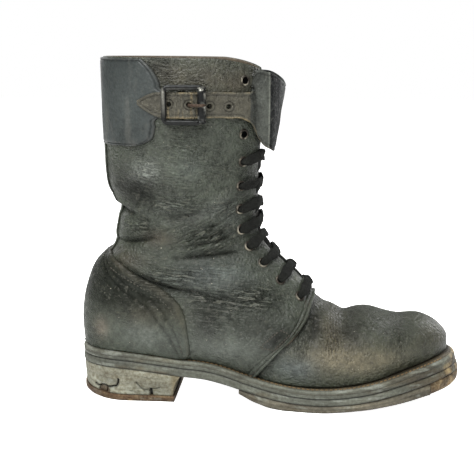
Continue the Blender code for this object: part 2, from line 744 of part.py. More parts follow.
def build_counter(parent):
    """Build the heel counter: the upper's own surface between the sole and the counter's edge."""
    hide = finish("counter leather", (0.085, 0.085, 0.078), 0.55)
    rows = np.linspace(COUNTER_FIRST, COUNTER_END, COUNTER_SAMPLES * 6)
    samples = np.linspace(0.0, 1.0, COUNTER_SAMPLES)
    first, last = turn_range(rows)
    turn = first[:, None] + samples[None, :] * (last - first)[:, None]
    side_view = skin_at_turn(rows[:, None], turn, LATERAL)
    covered = (side_view[..., 2] < np.interp(side_view[..., 0], COUNTER_X, COUNTER_Z)) & (
        side_view[..., 0] < COUNTER_X[-1])
    length = covered[:, ::-1].cumprod(axis=1).sum(axis=1)
    used = length >= COUNTER_LEAST
    low, high = rows[used][0], rows[used][-1]
    shared = np.sort(np.append(section_stations(), HEEL_ROW - 0.5))
    shared = shared[(shared > low + ROW_MARGIN) & (shared < high - ROW_MARGIN)]
    u = np.concatenate([[low], shared, [high]])
    start = np.interp(u, rows, 1.0 - length / COUNTER_SAMPLES)
    first, last = turn_range(u)
    edge = first + start * (last - first)
    last = last - COUNTER_RISE * (u < HEEL_ROW)
    turn = edge[:, None] + np.linspace(0.0, 1.0, COUNTER_COLUMNS)[None, :] * (last - edge)[:, None]
    shape = bmesh.new()
    for side in (LATERAL, MEDIAL):
        add_grid(shape, leather(u[:, None], turn, side, COUNTER_GAP), flip=side == LATERAL)
    merge_close(shape)
    thicken(add_object("counter", shape, hide, parent), COUNTER_THICK)

    strip = np.linspace(high + BACKSTAY_END, CUFF_ROW - BACKSTAY_END, BACKSTAY_ROWS)
    _, last = turn_range(strip)
    half = section(strip)[4]
    edge = last - np.arcsin(np.clip(BACKSTAY_HALF / half, 0.0, 1.0))
    points = wrap_round_back(strip, edge, edge, BACKSTAY_COLUMNS, BACKSTAY_GAP)
    add_sheet("backstay", points, BACKSTAY_THICK, hide, flip=True, parent=parent)


def build_tongue(parent):
    """Build the tongue: a sheet inside the throat that swells a little between the quarters."""
    hide = finish("tongue leather", (0.07, 0.07, 0.065), 0.65)
    u = np.concatenate([np.linspace(TONGUE_ROW[0], 20.0, 10), np.linspace(23.0, TONGUE_TOP, 4)])
    share = np.linspace(-1.0, 1.0, TONGUE_COLUMNS)
    half = section(u)[4]
    gap = section(u)[8]
    reach = np.arcsin(np.clip(np.interp(u, TONGUE_ROW, TONGUE_HALF) / half, 0.0, 0.9))
    turn = np.abs(share)[None, :] * reach[:, None]
    across = half[:, None] * np.sin(turn)
    swell = TONGUE_BULGE * np.clip(1.0 - (across / np.maximum(gap, 0.5)[:, None]) ** 2, 0.0, 1.0)
    side = np.where(share < 0.0, LATERAL, MEDIAL)[None, :]
    base = skin_at_turn(u[:, None], turn, side)
    normal = skin_normal(np.broadcast_to(u[:, None], turn.shape), turn, np.broadcast_to(side, turn.shape))
    under_vamp = TONGUE_UNDER_VAMP * (u < SEAM_ROW + 0.3)[:, None]
    points = base + normal * (swell - UPPER_WALL - TONGUE_GAP - under_vamp)[..., None]
    points[..., 2] -= collar_drop(u[:, None], turn)
    add_sheet("tongue", points, TONGUE_THICK, hide, inward=True, parent=parent)


def build_cuff(parent):
    """Build the cuff: a band of the shaft's own surface with a shaped front edge and a tab."""
    hide = finish("cuff leather", (0.085, 0.09, 0.092), 0.5)
    row_height = skin_at_turn(ROW_INDEX[CUFF_ROW:], math.pi / 2.0, LATERAL)[:, 2]
    u = np.interp(CUFF_EDGE_Z, row_height, ROW_INDEX[CUFF_ROW:])
    _, edge = locate(CUFF_EDGE_X, CUFF_EDGE_Z)
    _, inner = locate(np.full_like(CUFF_EDGE_Z, CUFF_MEDIAL_X), CUFF_EDGE_Z)
    points = wrap_round_back(u, edge, inner, CUFF_COLUMNS, CUFF_GAP)
    add_sheet("cuff", points, CUFF_THICK, hide, flip=True, parent=parent)


def strap_grid():
    """Return the flap and strap as a grid: a row of points from its lower to its upper edge at each place."""
    share = np.linspace(0.0, 1.0, STRAP_COLUMNS)[:, None]
    places = []
    for x, side, lift, top, bottom in FLAP_ROWS:
        z = bottom + (top - bottom) * share[:, 0]
        places.append(leather_beside(np.full_like(z, x), z, side, lift))
    for top_x, top_y, top_z, low_x, low_y, low_z in FLAP_FRONT:
        low = np.array([low_x, low_y, low_z])
        top = np.array([top_x, top_y, top_z])
        places.append(low + (top - low) * share)
    for x, side, lift, top, bottom in STRAP_ROWS:
        z = bottom + (top - bottom) * share[:, 0]
        places.append(leather_beside(np.full_like(z, x), z, side, lift))
    return np.stack(places)


def build_strap(parent):
    """Build the front flap that narrows to the strap, with its punched holes."""
    hide = finish("strap leather", (0.13, 0.12, 0.095), 0.6)
    strap = add_sheet("strap", strap_grid(), STRAP_THICK, hide, parent=parent)
    holes = bmesh.new()
    for x, z in STRAP_HOLES:
        point, _, _, outward = frame_at(x, z, LATERAL)
        add_tube(holes, [point, point + STRAP_HOLE_REACH * outward], STRAP_HOLE, EYELET_STEPS)
    combine(strap, add_cutter("strap_holes", holes), "DIFFERENCE")


def build_buckle(parent):
    """Build the buckle frame with its centre bar, and the prong that goes through the strap."""
    steel = finish("dark steel", (0.12, 0.12, 0.12), 0.45, 0.9)
    rust = finish("rusty prong", (0.22, 0.1, 0.045), 0.7, 0.5)
    point, forward, upward, outward = frame_at(BUCKLE_X, BUCKLE_Z, LATERAL)

    def place(along, up, lift):
        """Return the world point at a place in the buckle's own directions."""
        return point + along * forward + up * upward + lift * outward

    path = []
    for centre_x, centre_y, start in ((1, 1, 0), (-1, 1, 90), (-1, -1, 180), (1, -1, 270)):
        for angle in np.radians(start + np.array([0.0, 45.0, 90.0])):
            along = centre_x * (BUCKLE_WIDTH / 2.0 - BUCKLE_CORNER) + BUCKLE_CORNER * math.cos(angle)
            up = centre_y * (BUCKLE_HEIGHT / 2.0 - BUCKLE_CORNER) + BUCKLE_CORNER * math.sin(angle)
            path.append(place(along, up, BUCKLE_LIFT))
    shape = bmesh.new()
    add_tube(shape, path, BUCKLE_BAR, sides=8, closed=True)
    bmesh.ops.recalc_face_normals(shape, faces=shape.faces)
    frame = add_object("buckle_frame", shape, steel, parent)
    bar = bmesh.new()
    end = BUCKLE_HEIGHT / 2.0
    inside = end - CENTRE_BAR_RAMP
    add_tube(bar, [place(0.0, -end, BUCKLE_LIFT), place(0.0, -inside, CENTRE_BAR_LIFT),
                   place(0.0, inside, CENTRE_BAR_LIFT), place(0.0, end, BUCKLE_LIFT)], CENTRE_BAR, sides=7)
    combine(frame, add_cutter("centre_bar", bar), "UNION")

    over_bar = BUCKLE_LIFT + BUCKLE_BAR + GAP + PRONG_RADIUS
    shape = bmesh.new()
    root = CENTRE_BAR + GAP + PRONG_RADIUS
    add_tube(shape, [place(root, 0.0, CENTRE_BAR_LIFT), place(root + 1.9, 0.0, CENTRE_BAR_LIFT + 2.6),
                     place(root + 5.4, 0.0, over_bar - 0.4), place(BUCKLE_WIDTH / 2.0, 0.0, over_bar + 0.1),
                     place(BUCKLE_WIDTH / 2.0 + PRONG_TIP, 0.0, over_bar - 0.2)], PRONG_RADIUS, sides=7)
    bmesh.ops.recalc_face_normals(shape, faces=shape.faces)
    add_object("buckle_prong", shape, rust, parent)


def build_eyelets(parent):
    """Build the eyelets: turned rings with a flange on the quarter and a barrel in the hole."""
    brass = finish("worn brass", (0.2, 0.16, 0.1), 0.45, 0.8)
    barrel = EYELET_HOLE - GAP
    bore = barrel - EYELET_WALL
    profile = [(bore, -EYELET_DEPTH), (barrel, EYELET_SEAT), (EYELET_FLANGE, EYELET_SEAT), (bore, EYELET_CROWN)]
    angle = np.arange(EYELET_STEPS) * 2.0 * math.pi / EYELET_STEPS
    for number, (x, z) in enumerate(EYELET_ROWS, start=1):
        for label, side in (("lateral", LATERAL), ("medial", MEDIAL)):
            point, forward, upward, outward = frame_at(x, z, side)
            spokes = np.cos(angle)[:, None] * forward + np.sin(angle)[:, None] * upward
            rings = np.array([[point + radius * spoke + lift * outward for radius, lift in profile]
                              for spoke in spokes])
            rings = np.concatenate([rings, rings[:1]])
            rings = np.concatenate([rings, rings[:, :1]], axis=1)
            shape = bmesh.new()
            add_grid(shape, rings)
            merge_close(shape)
            bmesh.ops.recalc_face_normals(shape, faces=shape.faces)
            add_object(f"eyelet_{label}_{number:02d}", shape, brass, parent)


def lace_path(start, end, start_side, rise):
    """Return one crossing: from an eyelet over the quarter's edge and the tongue to the next row's far side."""
    u, turn = locate(*np.array([start, end]).T)
    edge, _ = turn_range(u)
    section_at = u[0] + (u[1] - u[0]) * LACE_SHARE
    turn_at = np.array([turn[0], edge[0], 0.0, edge[1], turn[1]])
    side_at = np.array([start_side, start_side, start_side, -start_side, -start_side])
    return leather(section_at, turn_at, side_at, LACE_LIFT + rise)


def build_lace(parent):
    """Build the lace's crossings, joined where they meet."""
    cotton = finish("cotton lace", (0.045, 0.045, 0.045), 0.9)
    first = bmesh.new()
    second = bmesh.new()
    rows = EYELET_ROWS[FIRST_LACED:]
    for upper, lower in zip(rows, rows[1:]):
        add_tube(first, lace_path(upper, lower, LATERAL, 0.0), LACE_RADIUS, LACE_SIDES, guide=LACE_GUIDE)
        add_tube(second, lace_path(upper, lower, MEDIAL, LACE_RISE), LACE_RADIUS, LACE_SIDES, guide=LACE_GUIDE)
    bmesh.ops.recalc_face_normals(first, faces=first.faces)
    lace = add_object("lace", first, cotton, parent)
    combine(lace, add_cutter("lace_other_way", second), "UNION")


def main():
    """Clear the scene and build the boot under one empty."""
    for item in list(bpy.data.objects):
        bpy.data.objects.remove(item, do_unlink=True)
    root = bpy.data.objects.new("boot", None)
    bpy.context.scene.collection.objects.link(root)
    build_sole(root)
    build_upper(root)
    build_counter(root)
    build_tongue(root)
    build_cuff(root)
    build_strap(root)
    build_buckle(root)
    build_eyelets(root)
    build_lace(root)


main()
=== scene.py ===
"""Looks of a worn right military high boot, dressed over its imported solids.

Shapes are worked out in the boot's own millimetres: x from the back of the sole to the toe, y towards the
inner side of the foot and z up from the floor.  Each piece is written in metres over the frame's origin.
"""

from __future__ import annotations

import itertools
import json
import logging
import math
from dataclasses import dataclass
from enum import Enum
from typing import Callable, Optional, Sequence, Union

import bmesh
import bpy
import numpy as np
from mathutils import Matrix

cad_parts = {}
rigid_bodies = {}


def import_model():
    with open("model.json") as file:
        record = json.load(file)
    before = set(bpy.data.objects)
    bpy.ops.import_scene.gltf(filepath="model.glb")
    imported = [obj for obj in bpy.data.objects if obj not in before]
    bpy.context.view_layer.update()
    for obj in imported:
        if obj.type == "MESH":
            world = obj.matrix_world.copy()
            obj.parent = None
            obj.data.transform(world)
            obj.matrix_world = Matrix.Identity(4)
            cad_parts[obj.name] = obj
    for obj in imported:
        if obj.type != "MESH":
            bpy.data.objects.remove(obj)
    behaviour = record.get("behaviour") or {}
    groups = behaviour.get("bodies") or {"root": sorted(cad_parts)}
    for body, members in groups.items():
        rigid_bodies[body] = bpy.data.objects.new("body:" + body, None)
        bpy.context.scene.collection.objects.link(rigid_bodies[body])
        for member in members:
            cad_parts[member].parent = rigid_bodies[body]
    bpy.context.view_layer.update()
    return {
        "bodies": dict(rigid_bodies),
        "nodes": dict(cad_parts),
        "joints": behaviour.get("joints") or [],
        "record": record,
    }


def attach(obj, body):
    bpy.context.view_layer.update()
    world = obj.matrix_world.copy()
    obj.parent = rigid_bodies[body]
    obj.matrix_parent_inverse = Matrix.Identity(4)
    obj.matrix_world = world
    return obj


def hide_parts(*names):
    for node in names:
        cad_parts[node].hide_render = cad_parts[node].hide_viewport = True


Array = np.ndarray
Pair = tuple[Array, Array]
Object = bpy.types.Object
Material = bpy.types.Material
Socket = bpy.types.NodeSocket
Colour = tuple[float, float, float]
Point3 = tuple[float, float, float]
Point2 = tuple[float, float]
Places = tuple[Point2, ...]
Height = Callable[[Array], Array]
Feed = Union[Socket, float, tuple]

LOG = logging.getLogger("boot")
MM = 0.001
BODY = "root"
EVEN = (1.0, 1.0, 1.0)
WHITE = (1.0, 1.0, 1.0, 1.0)


class Side(Enum):
    """Side of the boot, as the sign of y."""

    LATERAL = -1.0
    MEDIAL = 1.0


def srgb(red: float, green: float, blue: float) -> Colour:
    """Return a linear colour from screen values of 0 to 255.

    Args:
        red, green, blue: the colour as it shows on a screen.

    Returns:
        The linear colour.
    """
    values = np.array([red, green, blue]) / 255
    linear = np.where(values <= 0.04045, values / 12.92, ((values + 0.055) / 1.055) ** 2.4)
    return tuple(float(value) for value in linear)


def curve(at: Array, knots: Sequence[float], values: Sequence[float]) -> Array:
    """Read a table with a smooth cubic whose slopes come from each row's neighbours.

    Args:
        at: places to read.
        knots: the table's places, rising.
        values: the table's values.

    Returns:
        The value at each place.
    """
    at, knots, values = (np.asarray(item, float) for item in (at, knots, values))
    slope = np.gradient(values, knots)
    k = np.clip(np.searchsorted(knots, at, side="right") - 1, 0, len(knots) - 2)
    width = knots[k + 1] - knots[k]
    t = unit((at - knots[k]) / width)
    rise = values[k + 1] - values[k]
    bend = slope[k] * width - rise
    other = rise - slope[k + 1] * width
    return values[k] + t * rise + t * (1 - t) * ((1 - t) * bend + t * other)


def way_along(points: Array) -> Array:
    """Return the distance of each point from the first one, along the line."""
    step = np.linalg.norm(np.diff(points, axis=0), axis=1)
    return np.concatenate([[0.0], np.cumsum(step)])


def smooth_line(points: Sequence[Sequence[float]], count: int) -> Array:
    """Return count points of a smooth line through given ones, spread by length."""
    points = np.asarray(points, float)
    place = way_along(points)
    if len(points) == 2:
        return points[0] + np.linspace(0, 1, count)[:, None] * (points[1] - points[0])
    at = np.linspace(0, place[-1], count)
    return np.stack([curve(at, place, column) for column in points.T], axis=-1)


def arrays(*values: Array) -> Sequence[Array]:
    """Return values as arrays of one shape."""
    return np.broadcast_arrays(*(np.asarray(value, float) for value in values))


def directions(vectors: Array, least: float = 1e-9) -> Array:
    """Return vectors brought to a length of 1."""
    return vectors / np.maximum(np.linalg.norm(vectors, axis=-1, keepdims=True), least)


def unit(value: Array) -> Array:
    """Return a value kept between 0 and 1."""
    return np.clip(value, 0.0, 1.0)


def ease(value: Array, low: float, high: float) -> Array:
    """Return 0 below low, 1 above high and a smooth step between."""
    t = unit((np.asarray(value, float) - low) / (high - low))
    return t * t * (3 - 2 * t)


def bell(value: Array, middle: float, width: float) -> Array:
    """Return a bell curve of height 1 about a middle."""
    return np.exp(-(((value - middle) / width) ** 2))


def blend(first: Union[Array, Colour], second: Union[Array, Colour], share: Array) -> Array:
    """Return a colour mixed with a share of a second one."""
    return np.asarray(first) * (1 - share) + np.asarray(second) * share


def turned(dx: Array, dz: Array, angle: float) -> Pair:
    """Return offsets in the side view along and across a direction at an angle in degrees."""
    a = math.radians(angle)
    return dx * math.cos(a) + dz * math.sin(a), dz * math.cos(a) - dx * math.sin(a)


class ValueNoise:
    """Smooth random field: a lattice of seeded values joined by eased trilinear steps, in octaves."""

    LATTICE = 32

    def __init__(self, seed: int) -> None:
        """Fill the lattice from a seed."""
        self.values = np.random.default_rng(seed).random((self.LATTICE,) * 3)

    def at(self, points: Array, size: float, octaves: int = 3, stretch: Point3 = EVEN) -> Array:
        """Read the field.

        Args:
            points: places in millimetres.
            size: size of the largest blotches.
            octaves: number of layers, each half as large and half as strong as the last.
            stretch: how much longer the blotches are along each axis.

        Returns:
            Values from 0 to 1 about a mean of one half.
        """
        total = np.zeros(points.shape[:-1])
        weight = 0.0
        for octave in range(octaves):
            place = points / (np.asarray(stretch) * size / 2 ** octave) + 17.3 * octave
            cell = np.floor(place).astype(int)
            t = place - cell
            t = t * t * (3 - 2 * t)
            layer = np.zeros_like(total)
            for corner in itertools.product((0, 1), repeat=3):
                share = np.prod(np.where(np.array(corner) == 1, t, 1 - t), axis=-1)
                i, j, k = np.moveaxis((cell + np.array(corner)) % self.LATTICE, -1, 0)
                layer += share * self.values[i, j, k]
            total += layer * 0.5 ** octave
            weight += 0.5 ** octave
        return total / weight


NOISE = ValueNoise(7)


@dataclass(frozen=True)
class Last:
    """The boot's last and sole as functions of a few tables, in millimetres.

    A section u cuts the boot from its ridge (front or top) to its rear edge: sections up to heel_row end on
    the sole, later ones on the back line.  The turn goes from 0 on the ridge to about pi at the rear edge.
    """

    sole_length: float = 308.0
    heel_round: float = 42.0
    toe_round: float = 88.0
    toe_power: float = 2.15
    origin: Point3 = (154.0, -0.046, 0.0)
    gap: float = 0.3
    welt_clear: float = 0.9
    forefoot_bulge: float = 2.0
    quarter_step: float = 1.2
    seam_row: int = 10
    heel_row: int = 17
    cuff_row: int = 31
    last_row: int = 34
    collar_fall: float = 13.0
    # Sole from above: place, half width, centre line, width of the welt that shows
    plan: tuple = (
        (0, 37, 0, 6), (50, 37, 0, 7), (85, 35.8, -1.5, 7), (110, 35.2, -3, 6.4),
        (135, 38.6, -4, 6.6), (165, 47, -3, 7), (200, 52.5, -1.5, 8), (230, 53, 1, 8.5),
        (260, 51.5, 4, 9.5), (308, 49, 10, 11),
    )
    # Sole from the side: place, top of the welt, thickness of welt and midsole, of the outsole, underside
    side: tuple = (
        (0, 39.2, 6.5, 6.4, 3.4), (10, 39.8, 6.5, 6.4, 1.4), (22, 40.2, 6.5, 6.4, 0.4),
        (34, 40.1, 6.5, 6.4, 0), (60, 37.6, 6.5, 6.4, 0), (84, 34.6, 6.5, 6.6, 0),
        (105, 32.8, 6.5, 7, 18.9), (118, 30.1, 6.5, 7, 16), (131, 26.5, 6.5, 6.6, 9.8),
        (142, 23.8, 6.5, 6.2, 4.6), (154, 21.4, 6.5, 5.8, 1.2), (166, 19.5, 6.5, 5.5, 0),
        (196, 18, 6.5, 5.3, 0), (215, 19.4, 6.6, 5.4, 1.3), (235, 22.6, 6.9, 5.7, 3.2),
        (255, 27.8, 7.8, 6.1, 5.8), (275, 33.2, 8.8, 6.4, 8.8), (292, 37.2, 9.2, 6.6, 11.2),
        (308, 39.6, 9.4, 6.8, 13.6),
    )
    # Sections that end on the sole: ridge x and z, sole x, half width, widest place, fullness
    foot: tuple = (
        (297, 47.5, 297, 0, 0.7, 0.2), (296, 50.5, 296, 0, 0.7, 0.2),
        (293, 54.8, 293, 0, 0.7, 0.22), (287.5, 59.6, 287.5, 0, 0.7, 0.24),
        (279, 63.4, 278.5, 0, 0.7, 0.26), (266, 65, 264, 0, 0.7, 0.28),
        (250, 65.8, 246, 0, 0.7, 0.26), (231, 69.6, 224, 0, 0.7, 0.22),
        (214, 70, 202, 0, 0.7, 0.16), (201, 74, 176, 0, 0.68, 0.1),
        (189, 83, 147, 38, 0.66, 0.04), (178.5, 96.5, 118, 40, 0.64, 0.02),
        (167.5, 107.5, 88, 40, 0.62, 0), (157, 118, 58, 38.5, 0.6, 0),
        (149, 129, 32, 37, 0.56, 0), (145.6, 138, 17, 36, 0.54, 0),
        (144.7, 144.5, 8.6, 35.5, 0.53, 0), (144.5, 150, 6, 35, 0.52, 0),
    )
    # Sections that end on the back line: the same columns, with the height of the back point
    shaft: tuple = (
        (144.5, 154, 4.7, 50, 35, 0.51, 0), (144.5, 158, 4, 63, 35, 0.5, 0),
        (144.5, 162, 5.3, 78, 35.2, 0.5, 0), (144.5, 166, 9.2, 92, 35.6, 0.5, 0),
        (144.5, 170, 15.6, 105.5, 36, 0.5, 0), (144.5, 174, 25.2, 115.5, 36.4, 0.5, 0.02),
        (144.5, 178, 30.4, 124, 36.8, 0.5, 0.04), (144.5, 182, 31, 134, 37.2, 0.5, 0.06),
        (144.6, 186, 33.2, 144, 37.8, 0.5, 0.08), (144.7, 190, 35.2, 151.5, 38.4, 0.5, 0.1),
        (144.9, 194, 32.6, 159, 39, 0.5, 0.1), (145.2, 198, 26.2, 169.5, 39.8, 0.5, 0.1),
        (145.6, 202, 24.2, 183, 40.6, 0.5, 0.1), (146, 206, 24, 204, 41.4, 0.5, 0.1),
        (147, 228, 23.6, 227, 42, 0.5, 0.1), (147.6, 250, 23.2, 250, 42.4, 0.5, 0.1),
        (147, 269.5, 22.8, 271, 42.6, 0.5, 0.1),
    )
    # Half gap of the throat along the sections
    throat: tuple = (
        (0, 0), (10.15, 0), (10.5, 3.4), (11, 5), (12, 6.5), (14, 9), (17, 10.5), (24, 11.5),
        (31, 13), (34, 16),
    )

    def half_outline(self, x: Array) -> Array:
        """Return the sole's half width at x, with heel and toe rounded off."""
        heel = unit(1 - x / self.heel_round)
        toe = unit((x - self.sole_length + self.toe_round) / self.toe_round)
        rounded = np.sqrt(1 - heel ** 2) * (1 - toe ** self.toe_power) ** (1 / self.toe_power)
        return self.plan_at(x, 1) * rounded

    def plan_at(self, x: Array, column: int) -> Array:
        """Return one column of the plan table at x."""
        table = np.array(self.plan).T
        return curve(x, table[0], table[column])

    def side_at(self, x: Array, column: int) -> Array:
        """Return one column of the side table at x."""
        table = np.array(self.side).T
        return curve(x, table[0], table[column])

    def outline(self, x: Array, inset: Array) -> tuple[Array, Array, Array]:
        """Return x, outer y and inner y of the sole's outline drawn in by an inset."""
        x = np.asarray(x, float)
        inset = np.broadcast_to(np.asarray(inset, float), x.shape)
        share = x / self.sole_length
        half = self.half_outline(x) * (1 - inset / self.plan_at(x, 1))
        moved = x + inset * (1 - 2 * share)
        centre = self.plan_at(moved, 2)
        return moved, centre - half, centre + half

    def feather_half(self, x: Array) -> Array:
        """Return the half width of the upper where it meets the welt."""
        heel_inset = self.plan[0][3]
        toe_inset = self.plan[-1][3]
        share = unit((x - heel_inset) / (self.sole_length - heel_inset - toe_inset))
        on_sole = share * self.sole_length
        return self.half_outline(on_sole) * (1 - self.plan_at(on_sole, 3) / self.plan_at(on_sole, 1))

    def welt_top(self, x: Array) -> Array:
        """Return the height of the welt's upper face."""
        return self.side_at(x, 1)

    def outsole_top(self, x: Array) -> Array:
        """Return the height between midsole and outsole."""
        return self.welt_top(x) - self.side_at(x, 2)

    def outsole_under(self, x: Array) -> Array:
        """Return the height of the outsole's lower face."""
        return self.outsole_top(x) - self.side_at(x, 3)

    def ground(self, x: Array) -> Array:
        """Return the height of the lowest face, with worn heel, flat tread and toe spring."""
        table = np.array(self.side).T
        return np.interp(x, table[0], table[4])

    def section(self, u: Array) -> tuple[Array, ...]:
        """Return ridge x, z, rear x, z, half width, widest place, fullness, feather and throat gap at u."""
        foot = [(*row[:3], float(self.welt_top(row[2])) + self.gap, *row[3:]) for row in self.foot]
        rows = np.array(foot + list(self.shaft))
        index = np.arange(len(rows), dtype=float)
        fx, fz, rx, rz, half, wide, full = (curve(u, index, column) for column in rows.T)
        on_sole = u <= self.heel_row
        rz = np.where(on_sole, self.welt_top(rx) + self.gap, rz)
        feather = np.where(on_sole, self.feather_half(rx), 0.0)
        on_foot = unit(feather / 20)
        least = feather + self.forefoot_bulge * on_foot
        half = 0.5 * (half + least + np.sqrt((half - least) ** 2 + (4 * on_foot) ** 2))
        throat = np.array(self.throat).T
        return fx, fz, rx, rz, np.maximum(half, 1e-6), wide, full, feather, np.interp(u, throat[0], throat[1])

    def turn_range(self, u: Array) -> Pair:
        """Return the turn at the throat's edge and at the rear edge of section u."""
        _, _, _, _, half, _, _, feather, gap = self.section(u)
        first = np.arcsin(unit(gap / half))
        return first, math.pi - np.arcsin(np.clip(feather / half, 0.0, 0.999))

    def skin(self, u: Array, turn: Array, side: Array) -> Array:
        """Return points of the last: half an oval in each section, set off by the sole's centre line."""
        u, turn, side = arrays(u, turn, side)
        fx, fz, rx, rz, half, wide, full, _, _ = self.section(u)
        _, last = self.turn_range(u)
        front = wide * unit(1 - np.cos(turn)) ** (1 + full)
        rear = wide + (1 - wide) * np.cos(turn) / np.cos(last)
        chord = np.where(turn < math.pi / 2, front, rear)
        x = fx + (rx - fx) * chord
        z = fz + (rz - fz) * chord
        fade = unit((150 - z) / 80)
        y = side * half * np.sin(turn) + self.plan_at(x, 2) * fade
        return np.stack([x, y, z], axis=-1)

    def normal(self, u: Array, turn: Array, side: Array) -> Array:
        """Return the last's outward unit normal: the cross product of its two slopes."""
        u, turn, side = arrays(u, turn, side)
        du, dt = 0.01, 0.004
        turn = np.clip(turn, dt, math.pi - dt)
        low = np.clip(u - du, 0.0, self.last_row)
        high = np.clip(u + du, 0.0, self.last_row)
        along = self.skin(high, turn, side) - self.skin(low, turn, side)
        round_it = self.skin(u, turn + dt, side) - self.skin(u, turn - dt, side)
        out = np.cross(round_it, along) * side[..., None]
        return directions(out, 1e-12)

    def collar_drop(self, u: Array, turn: Array) -> Array:
        """Return the fall of the collar's front corners below its straight back part."""
        near_top = unit(u - (self.last_row - 1)) ** 2
        return self.collar_fall * near_top * unit(1 - turn / 1.15) ** 1.3

    def leather(self, u: Array, turn: Array, side: Array, lift: Array = 0.0) -> Array:
        """Return points over the last at a lift, kept off the welt and with the collar's corners lowered."""
        u, turn, side, lift = arrays(u, turn, side, lift)
        points = self.skin(u, turn, side) + self.normal(u, turn, side) * lift[..., None]
        points[..., 2] -= self.collar_drop(u, turn)
        floor = np.where(u <= self.heel_row + 1, self.welt_top(points[..., 0]) + self.welt_clear, 0.0)
        points[..., 2] = np.maximum(points[..., 2], floor)
        return points

    def locate(self, x: Array, z: Array) -> Pair:
        """Return the section and turn whose side view is x, z, by halving the range of sections."""
        x, z = arrays(x, z)
        low = np.zeros(x.shape)
        high = np.full(x.shape, float(self.last_row))
        for _ in range(30):
            middle = 0.5 * (low + high)
            fx, fz, rx, rz = self.section(middle)[:4]
            ahead = (rx - fx) * (z - fz) - (rz - fz) * (x - fx) < 0
            low = np.where(ahead, middle, low)
            high = np.where(ahead, high, middle)
        u = 0.5 * (low + high)
        fx, fz, rx, rz, _, wide, full, _, _ = self.section(u)
        _, last = self.turn_range(u)
        chord = ((x - fx) * (rx - fx) + (z - fz) * (rz - fz)) / ((rx - fx) ** 2 + (rz - fz) ** 2)
        chord = unit(chord)
        front = np.arccos(np.clip(1 - (np.minimum(chord, wide) / wide) ** (1 / (1 + full)), -1.0, 1.0))
        rear = np.arccos(np.clip((chord - wide) / (1 - wide) * np.cos(last), -1.0, 1.0))
        return u, np.where(chord < wide, front, rear)


LAST = Last()


def nearest_on_line(x: Array, z: Array, line: Array) -> Pair:
    """Measure points against a line in the side view.

    Args:
        x, z: places.
        line: points of the line.

    Returns:
        The signed distance, positive on the left of the line's way, and the share of the way along it.
    """
    start, step = line[:-1], np.diff(line, axis=0)
    px = x[..., None] - start[:, 0]
    pz = z[..., None] - start[:, 1]
    t = unit((px * step[:, 0] + pz * step[:, 1]) / (step ** 2).sum(axis=1))
    square = (px - t * step[:, 0]) ** 2 + (pz - t * step[:, 1]) ** 2
    k = square.argmin(axis=-1)[..., None]
    left = step[:, 0] * pz - step[:, 1] * px
    square, t, left = (np.take_along_axis(item, k, axis=-1)[..., 0] for item in (square, t, left))
    return np.sqrt(square) * np.sign(left), (k[..., 0] + t) / len(step)


@dataclass(frozen=True)
class Crease:
    """A soft trough (height below 0) or ridge along a path of x, z places on the side of the boot.

    Across it the height falls as a bell curve; a lip raises the leather again on the left of the path's way.
    """

    path: Places
    height: float
    width: float
    lip: float = 0.0
    SAMPLES = 18
    REACH = 3.2
    LIP_AT = 1.7

    def heights(self, x: Array, z: Array) -> Array:
        """Return the height that this crease adds at each place."""
        line = smooth_line(self.path, self.SAMPLES)
        reach = self.REACH * self.width
        near = (x > line[:, 0].min() - reach) & (x < line[:, 0].max() + reach)
        near &= (z > line[:, 1].min() - reach) & (z < line[:, 1].max() + reach)
        added = np.zeros(x.shape)
        distance, along = nearest_on_line(x[near], z[near], line)
        trough = bell(distance, 0, self.width)
        lip = self.lip * bell(distance, self.LIP_AT * self.width, self.width)
        taper = np.sin(math.pi * unit(along)) ** 0.6
        added[near] = self.height * (trough - lip) * taper
        return added


@dataclass(frozen=True)
class WrinkleField:
    """A patch of fine wrinkles: waves across one direction, bent by noise and faded out from a centre."""

    centre: Point2
    reach: Point2
    angle: float
    spacing: float
    height: float
    bend: float = 2.2

    def strength(self, x: Array, z: Array) -> Array:
        """Return how much of the field is felt at each place, from 0 to 1."""
        square = ((x - self.centre[0]) / self.reach[0]) ** 2 + ((z - self.centre[1]) / self.reach[1]) ** 2
        return np.exp(-square)

    def heights(self, x: Array, z: Array) -> Array:
        """Return the height that the wrinkles add: round crests with narrow valleys between them."""
        felt = self.strength(x, z)
        near = felt > 0.02
        along, across = turned(x[near] - self.centre[0], z[near] - self.centre[1], self.angle)
        place = np.stack([along, across, np.zeros_like(along)], axis=-1)
        bend = NOISE.at(place + 90, 9, 2, (2.5, 1, 1)) - 0.5
        wave = np.abs(np.sin(math.pi * (across / self.spacing + self.bend * bend))) - 0.64
        broken = ease(NOISE.at(place + 41, 7, 2, (2, 1, 1)), 0.28, 0.5)
        added = np.zeros(x.shape)
        added[near] = 1.7 * self.height * wave * broken * felt[near]
        return added


@dataclass(frozen=True)
class Patch:
    """A patch of colour on the side of the boot, with a ragged edge."""

    centre: Point2
    reach: Point2
    colour: Colour
    strength: float
    ragged: float = 0.6
    lean: float = 0.0

    def cover(self, points: Array) -> Array:
        """Return how much of the patch covers each point."""
        along, across = turned(points[..., 0] - self.centre[0], points[..., 2] - self.centre[1], self.lean)
        square = (along / self.reach[0]) ** 2 + (across / self.reach[1]) ** 2
        noise = NOISE.at(points + 300, 9, 4)
        edge = 1 - self.ragged + 2 * self.ragged * noise
        return unit(np.exp(-square) * edge) * self.strength


